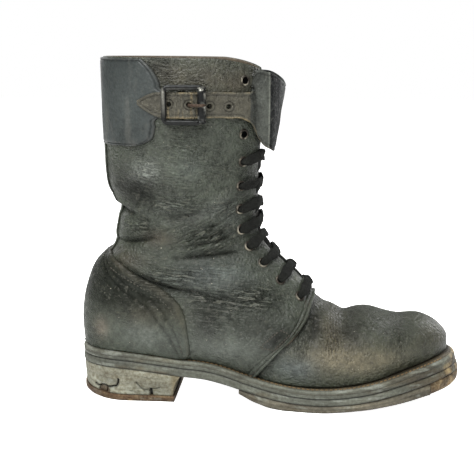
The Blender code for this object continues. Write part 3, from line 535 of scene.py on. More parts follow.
class Mesh:
    """Builds one piece from grids of points, with colour and masks on its points."""

    def __init__(self, name: str) -> None:
        """Start an empty piece."""
        self.name = name
        self.points: list[Array] = []
        self.faces: list[Array] = []
        self.fans: list[Array] = []
        self.uvs: list[Array] = []
        self.tones: list[Array] = []
        self.masks: list[Array] = []
        self.slots: list[Array] = []
        self.count = 0

    def grid(self, points: Array, tone: Union[Array, Colour] = (0.5, 0.5, 0.5), mask: Optional[Array] = None,
             flip: bool = False, wrap: bool = False, cap: bool = False, slot: int = 0) -> "Mesh":
        """Add a grid of points as quads.

        Args:
            points: rows by columns by three, in the boot's millimetres.
            tone: linear colour of the piece or of each point.
            mask: three wrinkle masks for each point.
            flip: turn the faces round.
            wrap: join the last column to the first.
            cap: close the first and the last row, which are rings, with a fan.
            slot: material slot of the faces.

        Returns:
            The piece, so that calls can follow each other.
        """
        rows, columns = points.shape[:2]
        index = self.count + np.arange(rows * columns).reshape(rows, columns)
        if wrap:
            index = np.concatenate([index, index[:, :1]], axis=1)
        quads = np.stack([index[:-1, :-1], index[:-1, 1:], index[1:, 1:], index[1:, :-1]], axis=-1)
        quads = quads.reshape(-1, 4)
        step_u = np.linalg.norm(np.diff(points, axis=0), axis=-1).mean(axis=1)
        step_v = np.linalg.norm(np.diff(points, axis=1), axis=-1).mean(axis=0)
        along = np.concatenate([[0.0], np.cumsum(step_u)])
        across = np.concatenate([[0.0], np.cumsum(step_v)])
        uv = np.stack(np.broadcast_arrays(along[:, None], across[None, :]), axis=-1)
        tone = np.broadcast_to(np.asarray(tone, float), points.shape)
        mask = np.zeros(points.shape) if mask is None else np.broadcast_to(mask, points.shape)
        self.points.append(points.reshape(-1, 3))
        self.uvs.append(uv.reshape(-1, 2))
        self.tones.append(tone.reshape(-1, 3))
        self.masks.append(mask.reshape(-1, 3))
        self.count += rows * columns
        if cap:
            for row, turned in ((0, True), (rows - 1, False)):
                self._fan(index[row], points[row], tone[row], turned)
        if flip:
            quads = quads[:, ::-1]
        self.faces.append(quads)
        self.slots.append(np.full(len(quads), slot))
        return self

    def _fan(self, ring: Array, points: Array, tone: Array, turned: bool) -> None:
        """Close a ring with triangles to its middle, unless its two halves already meet in one line."""
        spokes = points - points.mean(axis=0)
        if np.linalg.norm(np.cross(spokes, np.roll(spokes, -1, axis=0)).sum(axis=0)) < 0.01:
            return
        middle = self.count
        self.points.append(points.mean(axis=0, keepdims=True))
        self.uvs.append(np.zeros((1, 2)))
        self.tones.append(tone.mean(axis=0, keepdims=True))
        self.masks.append(np.zeros((1, 3)))
        self.count += 1
        first, second = (ring[1:], ring[:-1]) if turned else (ring[:-1], ring[1:])
        self.fans.append(np.stack([first, second, np.full(len(first), middle)], axis=-1))

    def build(self, materials: Sequence[Material], merge: float = 0.01, smooth_angle: float = 50.0,
              closed: bool = False) -> Object:
        """Write the piece into the scene.

        Args:
            materials: one material for each slot.
            merge: distance in millimetres under which points are joined.
            smooth_angle: edges sharper than this many degrees stay sharp.
            closed: the piece is a closed solid, whose normals are turned outward.

        Returns:
            The new object, riding on the boot's one body.
        """
        points = (np.concatenate(self.points) - np.array(LAST.origin)) * MM
        quads = np.concatenate(self.faces)
        fans = np.concatenate([np.zeros((0, 3), int), *self.fans])
        corners = np.concatenate([quads.ravel(), fans.ravel()])
        starts = np.concatenate([4 * np.arange(len(quads)), quads.size + 3 * np.arange(len(fans))])
        slots = np.concatenate([*self.slots, np.zeros(len(fans))])
        mesh = bpy.data.meshes.new(self.name)
        mesh.vertices.add(len(points))
        mesh.vertices.foreach_set("co", points.astype(np.float32).ravel())
        mesh.loops.add(len(corners))
        mesh.loops.foreach_set("vertex_index", corners.astype(np.int32))
        mesh.polygons.add(len(starts))
        mesh.polygons.foreach_set("loop_start", starts.astype(np.int32))
        mesh.polygons.foreach_set("material_index", slots.astype(np.int32))
        uv = mesh.uv_layers.new(name="surface")
        uv.data.foreach_set("uv", (np.concatenate(self.uvs)[corners] * MM).astype(np.float32).ravel())
        for label, data in (("tone", self.tones), ("wrinkle", self.masks)):
            values = np.concatenate(data)
            values = np.concatenate([values, np.ones((len(values), 1))], axis=1)
            layer = mesh.attributes.new(label, "FLOAT_COLOR", "POINT")
            layer.data.foreach_set("color", values.astype(np.float32).ravel())
        mesh.update(calc_edges=True)
        shape = bmesh.new()
        shape.from_mesh(mesh)
        bmesh.ops.remove_doubles(shape, verts=shape.verts, dist=merge * MM)
        bmesh.ops.dissolve_degenerate(shape, edges=shape.edges, dist=merge * MM * 0.2)
        if closed:
            bmesh.ops.recalc_face_normals(shape, faces=shape.faces)
        shape.to_mesh(mesh)
        shape.free()
        mesh.shade_smooth()
        mesh.set_sharp_from_angle(angle=math.radians(smooth_angle))
        item = bpy.data.objects.new(self.name, mesh)
        bpy.context.scene.collection.objects.link(item)
        for material in materials:
            mesh.materials.append(material)
        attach(item, BODY)
        LOG.info("%s: %d faces", self.name, len(mesh.polygons))
        return item


def thicken(item: Object, thickness: float, lining: int = 0) -> Object:
    """Give an open piece its wall on the inner side.

    Args:
        item: the piece.
        thickness: wall in millimetres.
        lining: how many material slots further on the inner face lies.

    Returns:
        The same piece.
    """
    wall = item.modifiers.new("wall", "SOLIDIFY")
    wall.thickness = thickness * MM
    wall.offset = -1.0
    wall.use_even_offset = False
    wall.material_offset = lining
    return item


class Nodes:
    """Adds and joins the nodes of one tree."""

    def __init__(self, tree: bpy.types.NodeTree) -> None:
        """Take the tree."""
        self.tree = tree

    def feed(self, socket: Socket, value: Feed) -> None:
        """Link a socket to another one, or set its value."""
        if isinstance(value, bpy.types.NodeSocket):
            self.tree.links.new(value, socket)
        else:
            socket.default_value = value

    def node(self, kind: str, inputs: dict, output: Union[int, str] = 0, **settings: object) -> Socket:
        """Add a node with its settings and inputs, and return one of its outputs."""
        node = self.tree.nodes.new("ShaderNode" + kind)
        for name, value in settings.items():
            setattr(node, name, value)
        for socket, value in inputs.items():
            self.feed(node.inputs[socket], value)
        return node.outputs[output]


class Shader(Nodes):
    """The nodes of one material."""

    def __init__(self, name: str) -> None:
        """Make a material with a Principled surface."""
        self.material = bpy.data.materials.new(name)
        self.material.use_nodes = True
        super().__init__(self.material.node_tree)
        self.surface = self.tree.nodes["Principled BSDF"]
        self.place = self.tree.nodes.new("ShaderNodeTexCoord")

    def set(self, name: str, value: Feed) -> None:
        """Set or link one input of the surface."""
        self.feed(self.surface.inputs[name], value)

    def colour_of(self, name: str) -> Socket:
        """Return the colour stored on the piece's points."""
        return self.node("Attribute", {}, "Color", attribute_name=name)

    def channels(self, name: str) -> tuple[Socket, ...]:
        """Return the three masks stored on the piece's points."""
        masks = self.node("SeparateColor", {0: self.colour_of(name)}).node.outputs
        return masks[0], masks[1], masks[2]

    def coordinates(self, stretch: Point3 = EVEN, tilt: float = 0.0) -> Socket:
        """Return object coordinates, drawn out along each axis after a tilt in the side view."""
        turn = (0.0, -math.radians(tilt), 0.0)
        inputs = {"Vector": self.place.outputs["Object"], "Scale": stretch, "Rotation": turn}
        return self.node("Mapping", inputs, vector_type="TEXTURE")

    def noise(self, scale: float, detail: float, stretch: Point3 = EVEN, tilt: float = 0.0,
              rough: float = 0.55) -> Socket:
        """Return a noise of so many blotches a metre."""
        place = self.coordinates(stretch, tilt)
        return self.node("TexNoise", {"Vector": place, "Scale": scale, "Detail": detail, "Roughness": rough})

    def cells(self, scale: float, feature: str = "F1") -> Socket:
        """Return the distance to the nearest of so many points a metre."""
        return self.node("TexVoronoi", {"Vector": self.coordinates(), "Scale": scale}, feature=feature)

    def span(self, value: Socket, low: float, high: float, to_low: float = 0.0,
             to_high: float = 1.0) -> Socket:
        """Return a value carried from one range to another and kept inside it."""
        return self.node("MapRange", dict(enumerate((value, low, high, to_low, to_high))))

    def mix(self, factor: Feed, first: Feed, second: Feed, blend_type: str = "MIX") -> Socket:
        """Return two colours mixed by a factor."""
        first, second = ((*item, 1.0) if isinstance(item, tuple) else item for item in (first, second))
        return self.node("Mix", {0: factor, 6: first, 7: second}, 2, data_type="RGBA", blend_type=blend_type)

    def sum(self, operation: str, first: Feed, second: Feed) -> Socket:
        """Return two values joined by a sum of the given kind."""
        return self.node("Math", {0: first, 1: second}, operation=operation)

    def ridge(self, value: Socket, middle: float, width: float, top: float) -> Socket:
        """Return a line that is highest where a value passes a middle, and 0 at its width from it."""
        away = self.sum("ABSOLUTE", self.sum("SUBTRACT", value, middle), 0.0)
        return self.span(away, 0.0, width, top, 0.0)

    def bump(self, height: Socket, depth: float, under: Optional[Socket] = None) -> Socket:
        """Return a normal bent by a height of so many millimetres, sunk if that is below 0."""
        inputs = {"Height": height, "Distance": abs(depth) * MM, "Strength": 1.0}
        if under is not None:
            inputs["Normal"] = under
        return self.node("Bump", inputs, invert=depth < 0)


@dataclass(frozen=True)
class LeatherFinish:
    """Waxed leather gone dry: grain, mottling, pale specks, uneven gloss and masked wrinkles, with painted
    shade along the wrinkle lines and a painted highlight in the pale scuff colour on their crests.
    """

    name: str
    grain: float = 620.0
    grain_depth: float = 0.7
    ripple: float = 1.6
    gloss: Point2 = (0.3, 0.5)
    mottle: float = 0.3
    specks: float = 1.0
    scuff_and_highlight: Colour = srgb(92, 90, 78)
    scuff_amount: float = 0.4
    fold_scale: float = 620.0
    fold_depth: float = 1.5
    crest_highlight: float = 0.35
    specular: float = 0.26

    def make(self) -> Material:
        """Return the material."""
        shader = Shader(self.name)
        fold: Feed = 0.0
        crest: Feed = 0.0
        ways = (((9.0, 2.0, 1.0), -6.0, 0.9), ((1.0, 2.0, 9.0), -6.0, 0.55), ((9.0, 2.0, 1.0), 27.0, 0.9))
        for mask, (stretch, tilt, deep) in zip(shader.channels("wrinkle"), ways):
            wave = shader.noise(self.fold_scale, 2.0, stretch, tilt)
            line = shader.sum("MULTIPLY", shader.ridge(wave, 0.5, 0.1, deep), mask)
            fold = shader.sum("MAXIMUM", line, fold)
            line = shader.sum("MULTIPLY", shader.ridge(wave, 0.64, 0.06, 1.0), mask)
            crest = shader.sum("MAXIMUM", line, crest)
        pebble = shader.cells(self.grain, feature="SMOOTH_F1")
        blotch = shader.span(shader.noise(190.0, 5.0), 0.3, 0.7, 1 - self.mottle, 1 + self.mottle)
        # The fold lines darken the colour as painted shade along the wrinkles.
        shade = shader.sum("MULTIPLY", blotch, shader.span(fold, 0.0, 1.0, 1.15, 0.4))
        shade = shader.sum("MULTIPLY", shade, shader.span(pebble, 0.1, 0.75, 1.15, 0.8))
        base = shader.mix(1.0, shader.colour_of("tone"), shade, "MULTIPLY")
        worn = shader.span(shader.noise(310.0, 6.0, rough=0.7), 0.56, 0.74, 0.0, self.scuff_amount)
        base = shader.mix(worn, base, self.scuff_and_highlight)
        # The crest lines take the pale scuff colour as a painted highlight.
        base = shader.mix(shader.sum("MULTIPLY", crest, self.crest_highlight), base, self.scuff_and_highlight)
        speck = shader.span(shader.cells(230.0), 0.05, 0.10, 0.75 * self.specks, 0.0)
        speck = shader.sum("MULTIPLY", speck, shader.span(shader.noise(110.0, 2.0), 0.56, 0.64))
        base = shader.mix(speck, base, srgb(168, 164, 148))
        shader.set("Base Color", base)
        shader.set("Roughness", shader.span(shader.noise(240.0, 4.0), 0.3, 0.7, self.gloss[0], self.gloss[1]))
        dull = shader.span(base, 0.007, 0.026, 0.3 * self.specular, 1.08 * self.specular)
        shader.set("Specular IOR Level", dull)
        normal = shader.bump(fold, -self.fold_depth)
        normal = shader.bump(shader.noise(330.0, 4.0), self.ripple, normal)
        shader.set("Normal", shader.bump(pebble, -self.grain_depth, normal))
        return shader.material


@dataclass(frozen=True)
class PlainFinish:
    """A surface of one colour with mottling, a fine bump and its own gloss, for linings, cloth and metal."""

    name: str
    colour: Colour
    other: Colour
    scale: float = 300.0
    rough: Point2 = (0.6, 0.85)
    metallic: float = 0.0
    depth: float = 0.2
    specular: float = 0.4
    toned: bool = False
    contrast: Point2 = (0.38, 0.62)

    def make(self) -> Material:
        """Return the material."""
        shader = Shader(self.name)
        noise = shader.noise(self.scale, 6.0, rough=0.65)
        share = shader.span(noise, self.contrast[0], self.contrast[1])
        base = shader.mix(share, self.colour, self.other)
        if self.toned:
            base = shader.mix(1.0, base, shader.colour_of("tone"), "MULTIPLY")
        shader.set("Base Color", base)
        shader.set("Metallic", self.metallic)
        shader.set("Specular IOR Level", self.specular)
        shader.set("Roughness", shader.span(noise, 0.3, 0.7, self.rough[0], self.rough[1]))
        normal = shader.bump(shader.noise(self.scale * 2.2, 5.0), self.depth)
        shader.set("Normal", normal)
        return shader.material


class Finishes:
    """The boot's materials, each made once."""

    def __init__(self) -> None:
        """Make every material."""
        self.hide = LeatherFinish("boot_leather").make()
        self.counter = LeatherFinish("counter_leather", grain=760.0, grain_depth=0.2, ripple=0.5,
                                     specular=0.16).make()
        self.cuff = LeatherFinish("cuff_leather", grain_depth=0.12, ripple=0.3, gloss=(0.36, 0.52),
                                  mottle=0.1, specks=0.5, scuff_amount=0.2).make()
        self.strap = LeatherFinish("strap_leather", grain_depth=0.3, gloss=(0.45, 0.7), mottle=0.25).make()
        self.lining = PlainFinish("lining_leather", srgb(74, 65, 51), srgb(54, 47, 37)).make()
        self.insole = PlainFinish("insole_leather", srgb(112, 90, 64), srgb(78, 62, 44), 160.0,
                                  depth=0.3).make()
        shade = (0.62, 0.6, 0.56)
        self.sole = self.toned("sole_leather", shade, 420.0, (0.5, 0.75), depth=0.35, specular=0.25)
        self.tap = self.toned("tap_leather", shade, 380.0, (0.55, 0.8), depth=0.5, specular=0.25)
        self.heel = self.toned("heel_leather", (0.55, 0.5, 0.42), 360.0, (0.6, 0.85), depth=0.6)
        self.iron = self.toned("rusty_iron", (0.5, 0.38, 0.26), 520.0, (0.5, 0.85), metallic=0.35, depth=0.6)
        self.steel = self.toned("buckle_steel", (0.6, 0.58, 0.55), 600.0, (0.26, 0.45),
                                metallic=0.85, depth=0.15)
        self.brass = self.toned("eyelet_brass", (0.8, 0.76, 0.68), 700.0, (0.3, 0.55),
                                metallic=0.6, depth=0.15)
        self.cotton = self.toned("lace_cotton", (0.35, 0.37, 0.33), 900.0, (0.8, 0.95), depth=1.2,
                                 specular=0.15)
        self.thread = self.toned("waxed_thread", (0.6, 0.6, 0.6), 800.0, (0.6, 0.8), depth=0.2)
        # A black, matte finish for the eyelet holes, as painted shade.
        self.dark = PlainFinish("hole_painted_shade", (0.002, 0.002, 0.002), (0.001, 0.001, 0.001), rough=(0.95, 1.0),
                                specular=0.0).make()

    @staticmethod
    def toned(name: str, other: Colour, scale: float, rough: Point2, **more: float) -> Material:
        """Make a plain finish whose colour comes from the piece's points."""
        return PlainFinish(name, (1.0, 1.0, 1.0), other, scale, rough, toned=True, **more).make()


EYELETS: Places = (
    (134, 253.5), (133.6, 233.5), (133.2, 213), (132.6, 192), (130.8, 173), (130.2, 154.5), (131, 138),
    (137.2, 124.6), (148.2, 111.6), (162, 98.4), (177.2, 85.6),
)

# Main creases in the side view, where the lip lies on the path's left: path, height, width, lip
CREASES = tuple(Crease(*row) for row in (
    (((29, 158), (37, 152.5), (46, 150), (60, 151)), -0.9, 3.2, 0.5),
    (((36, 141), (46, 141.5), (58, 143)), 2, 6),
    (((30, 128), (44, 128.8), (54, 130.8), (67, 134), (77, 142)), -0.8, 2.6, 0.5),
    (((26, 113), (42, 105.8), (56, 99.8), (69, 95.4), (84, 92.6), (104, 90), (132, 83)),
           -1.3, 3.2, 0.4),
    (((44, 114), (62, 105), (82, 100), (102, 97)), 1, 2.6),
    (((50, 119), (70, 111), (92, 106)), 0.8, 3),
    (((78, 116), (100, 118.6), (117, 120.6), (139, 122.5)), -1.1, 2.8, 0.5),
    (((82, 123.5), (106, 126), (128, 130)), 0.6, 1.6),
    (((84, 128), (108, 131.5), (126, 138)), 0.6, 1.5),
    (((90, 132.5), (110, 137), (124, 145)), 0.5, 1.5),
    (((84, 126), (106, 128.8), (127, 134)), -0.8, 1.1),
    (((88, 130.5), (109, 134.2), (125, 141.5)), -0.8, 1.1),
    (((34, 174), (50, 169), (68, 163)), -2.2, 10),
    (((46, 188), (60, 182), (74, 178)), 1.6, 8),
    (((84, 206), (91, 188), (98, 172)), 1.6, 14),
    (((64, 158), (84, 157.5), (104, 161)), 0.9, 5),
    (((66, 148), (86, 149), (110, 154)), -1.4, 5),
    (((108, 159), (127, 164.5)), 0.9, 4),
    (((104, 152), (127, 156.5)), -0.8, 3),
    (((106, 145), (128, 147.5)), 0.7, 2.6),
    (((112, 170), (127, 174)), -0.5, 2),
    (((50, 158), (66, 148), (80, 138), (92, 128)), 1.3, 7),
    (((88, 141), (106, 150), (124, 160)), 1, 4),
    (((112, 104), (132, 108), (146, 108)), 1, 6),
    (((94, 78), (118, 72), (140, 74)), -1, 7),
    (((112, 60), (130, 52), (148, 46)), 0.9, 9),
    (((191, 78), (190, 66), (184, 52)), -1.6, 4),
    (((213, 73), (212.5, 64), (211, 55)), -1.9, 5.5),
    (((200, 74), (200, 60), (195, 44)), 1, 4),
    (((236, 70), (234, 58), (230, 46)), 1, 10),
    (((261, 66), (256, 56), (250, 44)), -0.7, 7),
    (((272, 66), (272, 58)), 0.6, 6),
    (((29, 161), (36, 155), (43, 151.5), (50, 150.5)), -1.2, 1.1),
    (((30.5, 165.5), (36, 159.5), (42, 155.5)), 1.5, 1.6),
    (((31, 127.8), (44, 128.6), (54, 130.4), (66, 133.4)), -1.4, 1),
    (((36, 132.5), (48, 132.6), (60, 135.5)), 0.9, 1.5),
    (((27, 112.5), (42, 105.6), (56, 99.6), (69, 95.2), (84, 92.4), (100, 90.6)), -1.3, 1),
    (((34, 113.5), (48, 107), (62, 101), (78, 97)), -0.8, 1.2),
    (((80, 116.4), (100, 118.4), (117, 120.2), (137, 122)), -1.2, 1.3),
    (((92, 121.5), (112, 123.6), (132, 126.5)), -0.9, 1.2),
    (((46, 143), (56, 146), (68, 145)), -0.8, 1.6),
    (((70, 139), (84, 141), (100, 147)), -0.8, 1.8),
    (((104, 140), (118, 146), (127, 152)), -0.9, 1.4),
    (((106, 157), (118, 160), (127, 160.5)), -0.7, 1.4),
    (((140, 92), (156, 90), (170, 84)), -0.6, 1.5),
    (((130, 84), (150, 83), (168, 76)), -0.6, 1.5),
    (((196, 66), (196.5, 56), (194, 46)), -0.7, 1.2),
    (((201, 65), (201, 55), (198.5, 45)), -0.7, 1.2),
    (((206, 64), (205.5, 54), (203, 45)), -0.7, 1.2),
))
# Centre, reach, angle, spacing, height, bend
WRINKLES = tuple(WrinkleField(*row) for row in (
    ((60, 182), (16, 12), -25, 3.2, 0.32),
    ((84, 158), (24, 10), -2, 3.2, 0.36),
    ((52, 140), (16, 9), 10, 3.2, 0.3),
    ((120, 156), (12, 9), 18, 3, 0.3),
    ((106, 134), (26, 13), 24, 3.3, 0.34),
    ((80, 101), (30, 9), -14, 3.2, 0.36),
    ((138, 87), (26, 10), -6, 3, 0.34),
    ((112, 86), (22, 8), -10, 3, 0.3),
    ((180, 50), (7, 12), 78, 2.2, 0.4, 0.9),
    ((203, 55), (8, 13), 96, 2.3, 0.5, 0.9),
    ((254, 55), (9, 11), 86, 2.9, 0.2),
))
DUST = srgb(100, 94, 78)
# Pale grey for worn zones and for painted highlights.
WEAR_AND_HIGHLIGHT = srgb(84, 88, 83)
BROWN = srgb(60, 52, 40)
# Near black for painted shade in hollows, creases, dips and shaded zones.
PAINTED_SHADE = srgb(25, 25, 23)
# Blue-grey for painted highlights, a painted sheen.
PAINTED_SHEEN = srgb(66, 72, 73)
HIDE_TONE = srgb(43, 47, 39)
RELIEF = 1.3
DENTS = 2.0
# Centre, reach, colour, strength, ragged, lean
HIDE_PATCHES = tuple(Patch(*row) for row in (
    ((206, 42), (24, 11), DUST, 0.66, 0.3),
    ((159.6, 55.8), (11, 4.6), srgb(16, 16, 14), 0.9, 0.1, 40),
    ((200, 62), (16, 14), BROWN, 0.25),
    ((232, 40), (28, 10), DUST, 0.5),
    ((178, 34), (18, 8), PAINTED_SHEEN, 0.5),
    ((226, 62), (16, 9), PAINTED_SHADE, 0.3),
    ((284, 52), (16, 10), BROWN, 0.3),
    ((118, 48), (30, 10), WEAR_AND_HIGHLIGHT, 0.4),
    ((58, 56), (30, 12), WEAR_AND_HIGHLIGHT, 0.55),
    ((22, 58), (6, 8), srgb(110, 100, 88), 0.4),
    ((52, 178), (28, 14), PAINTED_SHADE, 0.45, 0.6, -20),
    # A pale patch on the ankle bulge as a painted highlight.
    ((60, 186), (11, 8), srgb(104, 108, 102), 0.5, 0.5),
    ((84, 157), (20, 7), WEAR_AND_HIGHLIGHT, 0.15),
    ((92, 188), (12, 10), PAINTED_SHEEN, 0.15),
    ((46, 165), (20, 11), PAINTED_SHADE, 0.42, 0.3, -20),
    ((30, 176), (9, 13), PAINTED_SHADE, 0.3),
    ((122, 150), (9, 12), WEAR_AND_HIGHLIGHT, 0.25),
    ((110, 156), (16, 5), WEAR_AND_HIGHLIGHT, 0.4, 0.6, 25),
    ((68, 133), (12, 6), BROWN, 0.45),
    ((120, 82), (26, 10), PAINTED_SHADE, 0.3),
    ((84, 99), (30, 6), WEAR_AND_HIGHLIGHT, 0.25, 0.3),
    ((110, 118), (26, 3), PAINTED_SHADE, 0.3, 0.3),
    ((110, 104), (26, 12), PAINTED_SHEEN, 0.3),
    ((90, 258), (40, 12), BROWN, 0.4),
    ((118, 250), (22, 10), BROWN, 0.45),
    ((68, 264), (16, 7), PAINTED_SHADE, 0.45, 0.4),
    ((106, 258), (12, 6), PAINTED_SHADE, 0.35, 0.4),
    ((44, 114), (14, 8), BROWN, 0.35),
    ((44, 90), (34, 18), PAINTED_SHADE, 0.3, 0.3),
    ((62, 72), (24, 10), BROWN, 0.3),
    ((106, 66), (13, 14), PAINTED_SHADE, 0.6),
    ((146, 66), (15, 10), PAINTED_SHADE, 0.5),
    ((219, 62), (7, 12), PAINTED_SHADE, 0.4),
    ((203, 55), (7, 12), DUST, 0.22, 0.3),
    ((260, 62), (6, 9), PAINTED_SHADE, 0.1),
    ((190, 66), (4, 13), PAINTED_SHADE, 0.6),
))


def hide_heights(points: Array) -> Array:
    """Return the height of creases, wrinkles and soft dents of the leather at each point."""
    x, z = points[..., 0], points[..., 2]
    added = sum(item.heights(x, z) for item in (*CREASES, *WRINKLES))
    dents = NOISE.at(points, 26, 3) - 0.5
    near = np.min([np.hypot(x - ex, z - ez) for ex, ez in EYELETS], axis=0)
    return (RELIEF * added + DENTS * dents) * (0.15 + 0.85 * ease(near, 4, 12))


def hide_paint(points: Array, heights: Array) -> Array:
    """Return the leather's colour: its base, the listed patches, painted shade in the troughs and painted
    highlights on the ridges and wrinkle crests.
    """
    x, z = points[..., 0], points[..., 2]
    tone = np.array(HIDE_TONE) * (0.5 + NOISE.at(points + 50, 38, 4)[..., None])
    for patch in HIDE_PATCHES:
        tone = blend(tone, patch.colour, patch.cover(points)[..., None])
    # Troughs are darkened as painted shade; raised ridges and fine wrinkle crests are lightened as painted
    # highlights, and fine wrinkle valleys darkened as painted shade.
    depth = np.clip(-heights / 3, -0.5, 1.0)[..., None]
    fine = sum(field.heights(x, z) for field in WRINKLES)[..., None]
    on_vamp = (ease(x, 180, 200) * (1 - ease(z, 80, 95)))[..., None]
    tone = tone * (1 - on_vamp * np.array([0.2, 0.22, 0.28]))
    crest = 0.5 * unit(-depth) + (0.8 + 0.6 * on_vamp) * np.clip(fine, -0.3, 0.4)
    dark = 0.68 - 0.5 * ease(x, 194, 200)[..., None]
    return tone * (1 - dark * unit(depth) + crest)


def hide_masks(points: Array) -> Array:
    """Return the three wrinkle masks: level, upright and slanted folds."""
    x, z = points[..., 0], points[..., 2]
    masks = np.zeros(points.shape)
    for field in WRINKLES:
        channel = 1 if abs(field.angle) > 60.0 else 2 if field.angle > 15.0 else 0
        masks[..., channel] = np.maximum(masks[..., channel], field.strength(x, z))
    broken = ease(NOISE.at(points + 700, 22, 3), 0.42, 0.7)
    on_vamp = ease(x, 172, 196) * (1 - ease(z, 80, 92))
    masks[..., 0] = np.maximum(masks[..., 0], 0.4 * broken * (1 - on_vamp))
    masks[..., 1] = np.maximum(masks[..., 1], 0.35 * broken * on_vamp)
    return unit(masks)


@dataclass
class Upper:
    """Vamp and quarters: the last's own surface with creases, a real wall and a step at their seam."""

    wall: float = 2.2
    vamp_rows: int = 180
    vamp_columns: int = 82
    quarter_rows: int = 270
    quarter_columns: int = 132
    vamp_tuck: float = 0.35
    seam_places: Places = (
        (0, 0), (0.1, -0.02), (0.2, -0.05), (0.31, -0.13), (0.39, -0.2), (0.456, -0.225), (0.517, -0.22),
        (0.571, -0.19), (0.65, -0.08), (0.7, 0.03), (0.8, 0.085), (1, 0.1),
    )

    def seam_row(self, share: Array) -> Array:
        """Return the section where the quarters' front edge lies: a soft S between ridge and sole."""
        knots, shifts = zip(*self.seam_places)
        return LAST.seam_row + curve(unit(share), knots, shifts)

    def vamp(self, finishes: Finishes) -> Object:
        """Build the vamp from toe to seam, in one grid over the ridge."""
        share = np.linspace(-1, 1, 2 * self.vamp_columns + 1)
        end = self.seam_row(np.abs(share)) + self.vamp_tuck
        u = np.linspace(0, 1, self.vamp_rows)[:, None] * end[None, :]
        side = np.broadcast_to(np.where(share < 0, -1.0, 1.0)[None, :], u.shape)
        _, last = LAST.turn_range(u)
        turn = np.abs(share)[None, :] * last
        base = LAST.leather(u, turn, side)
        heights = hide_heights(base) * ease(u, 0, 2.5)
        tucked = -0.5 * ease(u - end[None, :], -self.vamp_tuck, 0)
        points = LAST.leather(u, turn, side, heights + tucked)
        seam_shade = bell(u - end[None, :], -self.vamp_tuck, 0.14)
        # Next to the quarters' edge the vamp is darkened as painted shade.
        tone = hide_paint(base, heights) * (1 - 0.6 * seam_shade)[..., None]
        mesh = Mesh("vamp").grid(points, tone, hide_masks(base))
        return thicken(mesh.build([finishes.hide, finishes.lining]), self.wall, 1)

    def quarter(self, half: Side, finishes: Finishes) -> Object:
        """Build one quarter from the seam up to the collar and round to the back seam."""
        side = half.value
        share = np.linspace(0, 1, self.quarter_columns)
        start = self.seam_row(share)
        close_rows = np.linspace(0, 0.024, 22)[:-1]
        rise = np.concatenate([close_rows, np.linspace(0.024, 1, self.quarter_rows)])[:, None]
        u = start[None, :] + rise * (LAST.last_row - start)[None, :]
        first, last = LAST.turn_range(u)
        turn = first + share[None, :] * (last - first)
        base = LAST.leather(u, turn, side)
        step = np.linalg.norm(np.diff(base, axis=0), axis=-1)
        behind = np.concatenate([np.zeros((1, u.shape[1])), np.cumsum(step, axis=0)])
        bead = 1.5 * bell(behind, 1.8, 1.5) + 0.7 * bell(behind, 5.6, 1.5)
        bead -= 0.5 * bell(behind, 3.7, 0.6) + 0.6 * bell(behind, 7.6, 0.8)
        heights = hide_heights(base) * ease(behind, 0, 8) + bead * ease(share, 0, 0.06)
        thin = 1 - 0.8 * (1 - ease(share, 0, 0.1)) * (1 - ease(behind, 0, 9))
        points = LAST.leather(u, turn, side, LAST.quarter_step * thin + heights)
        # Along its front edge the quarter is darkened as painted shade.
        tone = hide_paint(base, heights) * (0.45 + 0.55 * ease(behind, 0, 0.9))[..., None]
        mesh = Mesh(f"quarter_{half.name.lower()}")
        mesh.grid(points, tone, hide_masks(base), flip=side < 0)
        return thicken(mesh.build([finishes.hide, finishes.lining]), self.wall, 1)

    def build(self, finishes: Finishes) -> None:
        """Build the vamp and the quarters in place of the plain upper."""
        quarters = [self.quarter(half, finishes) for half in (Side.LATERAL, Side.MEDIAL)]
        for item in (self.vamp(finishes), *quarters):
            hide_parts("upper")


def worn_toe(points: Array, inset: float) -> Array:
    """Return points of the sole with the toe's upper edge worn back and down, most at its rim."""
    x, z = points[..., 0], points[..., 2]
    low = LAST.ground(x)
    level = unit((z - low) / (LAST.welt_top(x) - low))
    wear = 5 * ease(x, 262, 304) * (1 - ease(inset, 0, 11)) * level ** 1.5
    return points - wear[..., None] * np.array([1.0, 0.0, 0.8])


def sole_stations(start: float, end: float, count: int = 190) -> Array:
    """Return places along the sole, closer together where its two ends are round."""
    swing = 0.5 * (1 - np.cos(np.linspace(0, math.pi, count)))
    every = LAST.sole_length * (0.55 * swing + 0.45 * (3 * swing ** 2 - 2 * swing ** 3))
    inside = every[(every > start + 0.4) & (every < end - 0.4)]
    return np.concatenate([[start], inside, [end]])


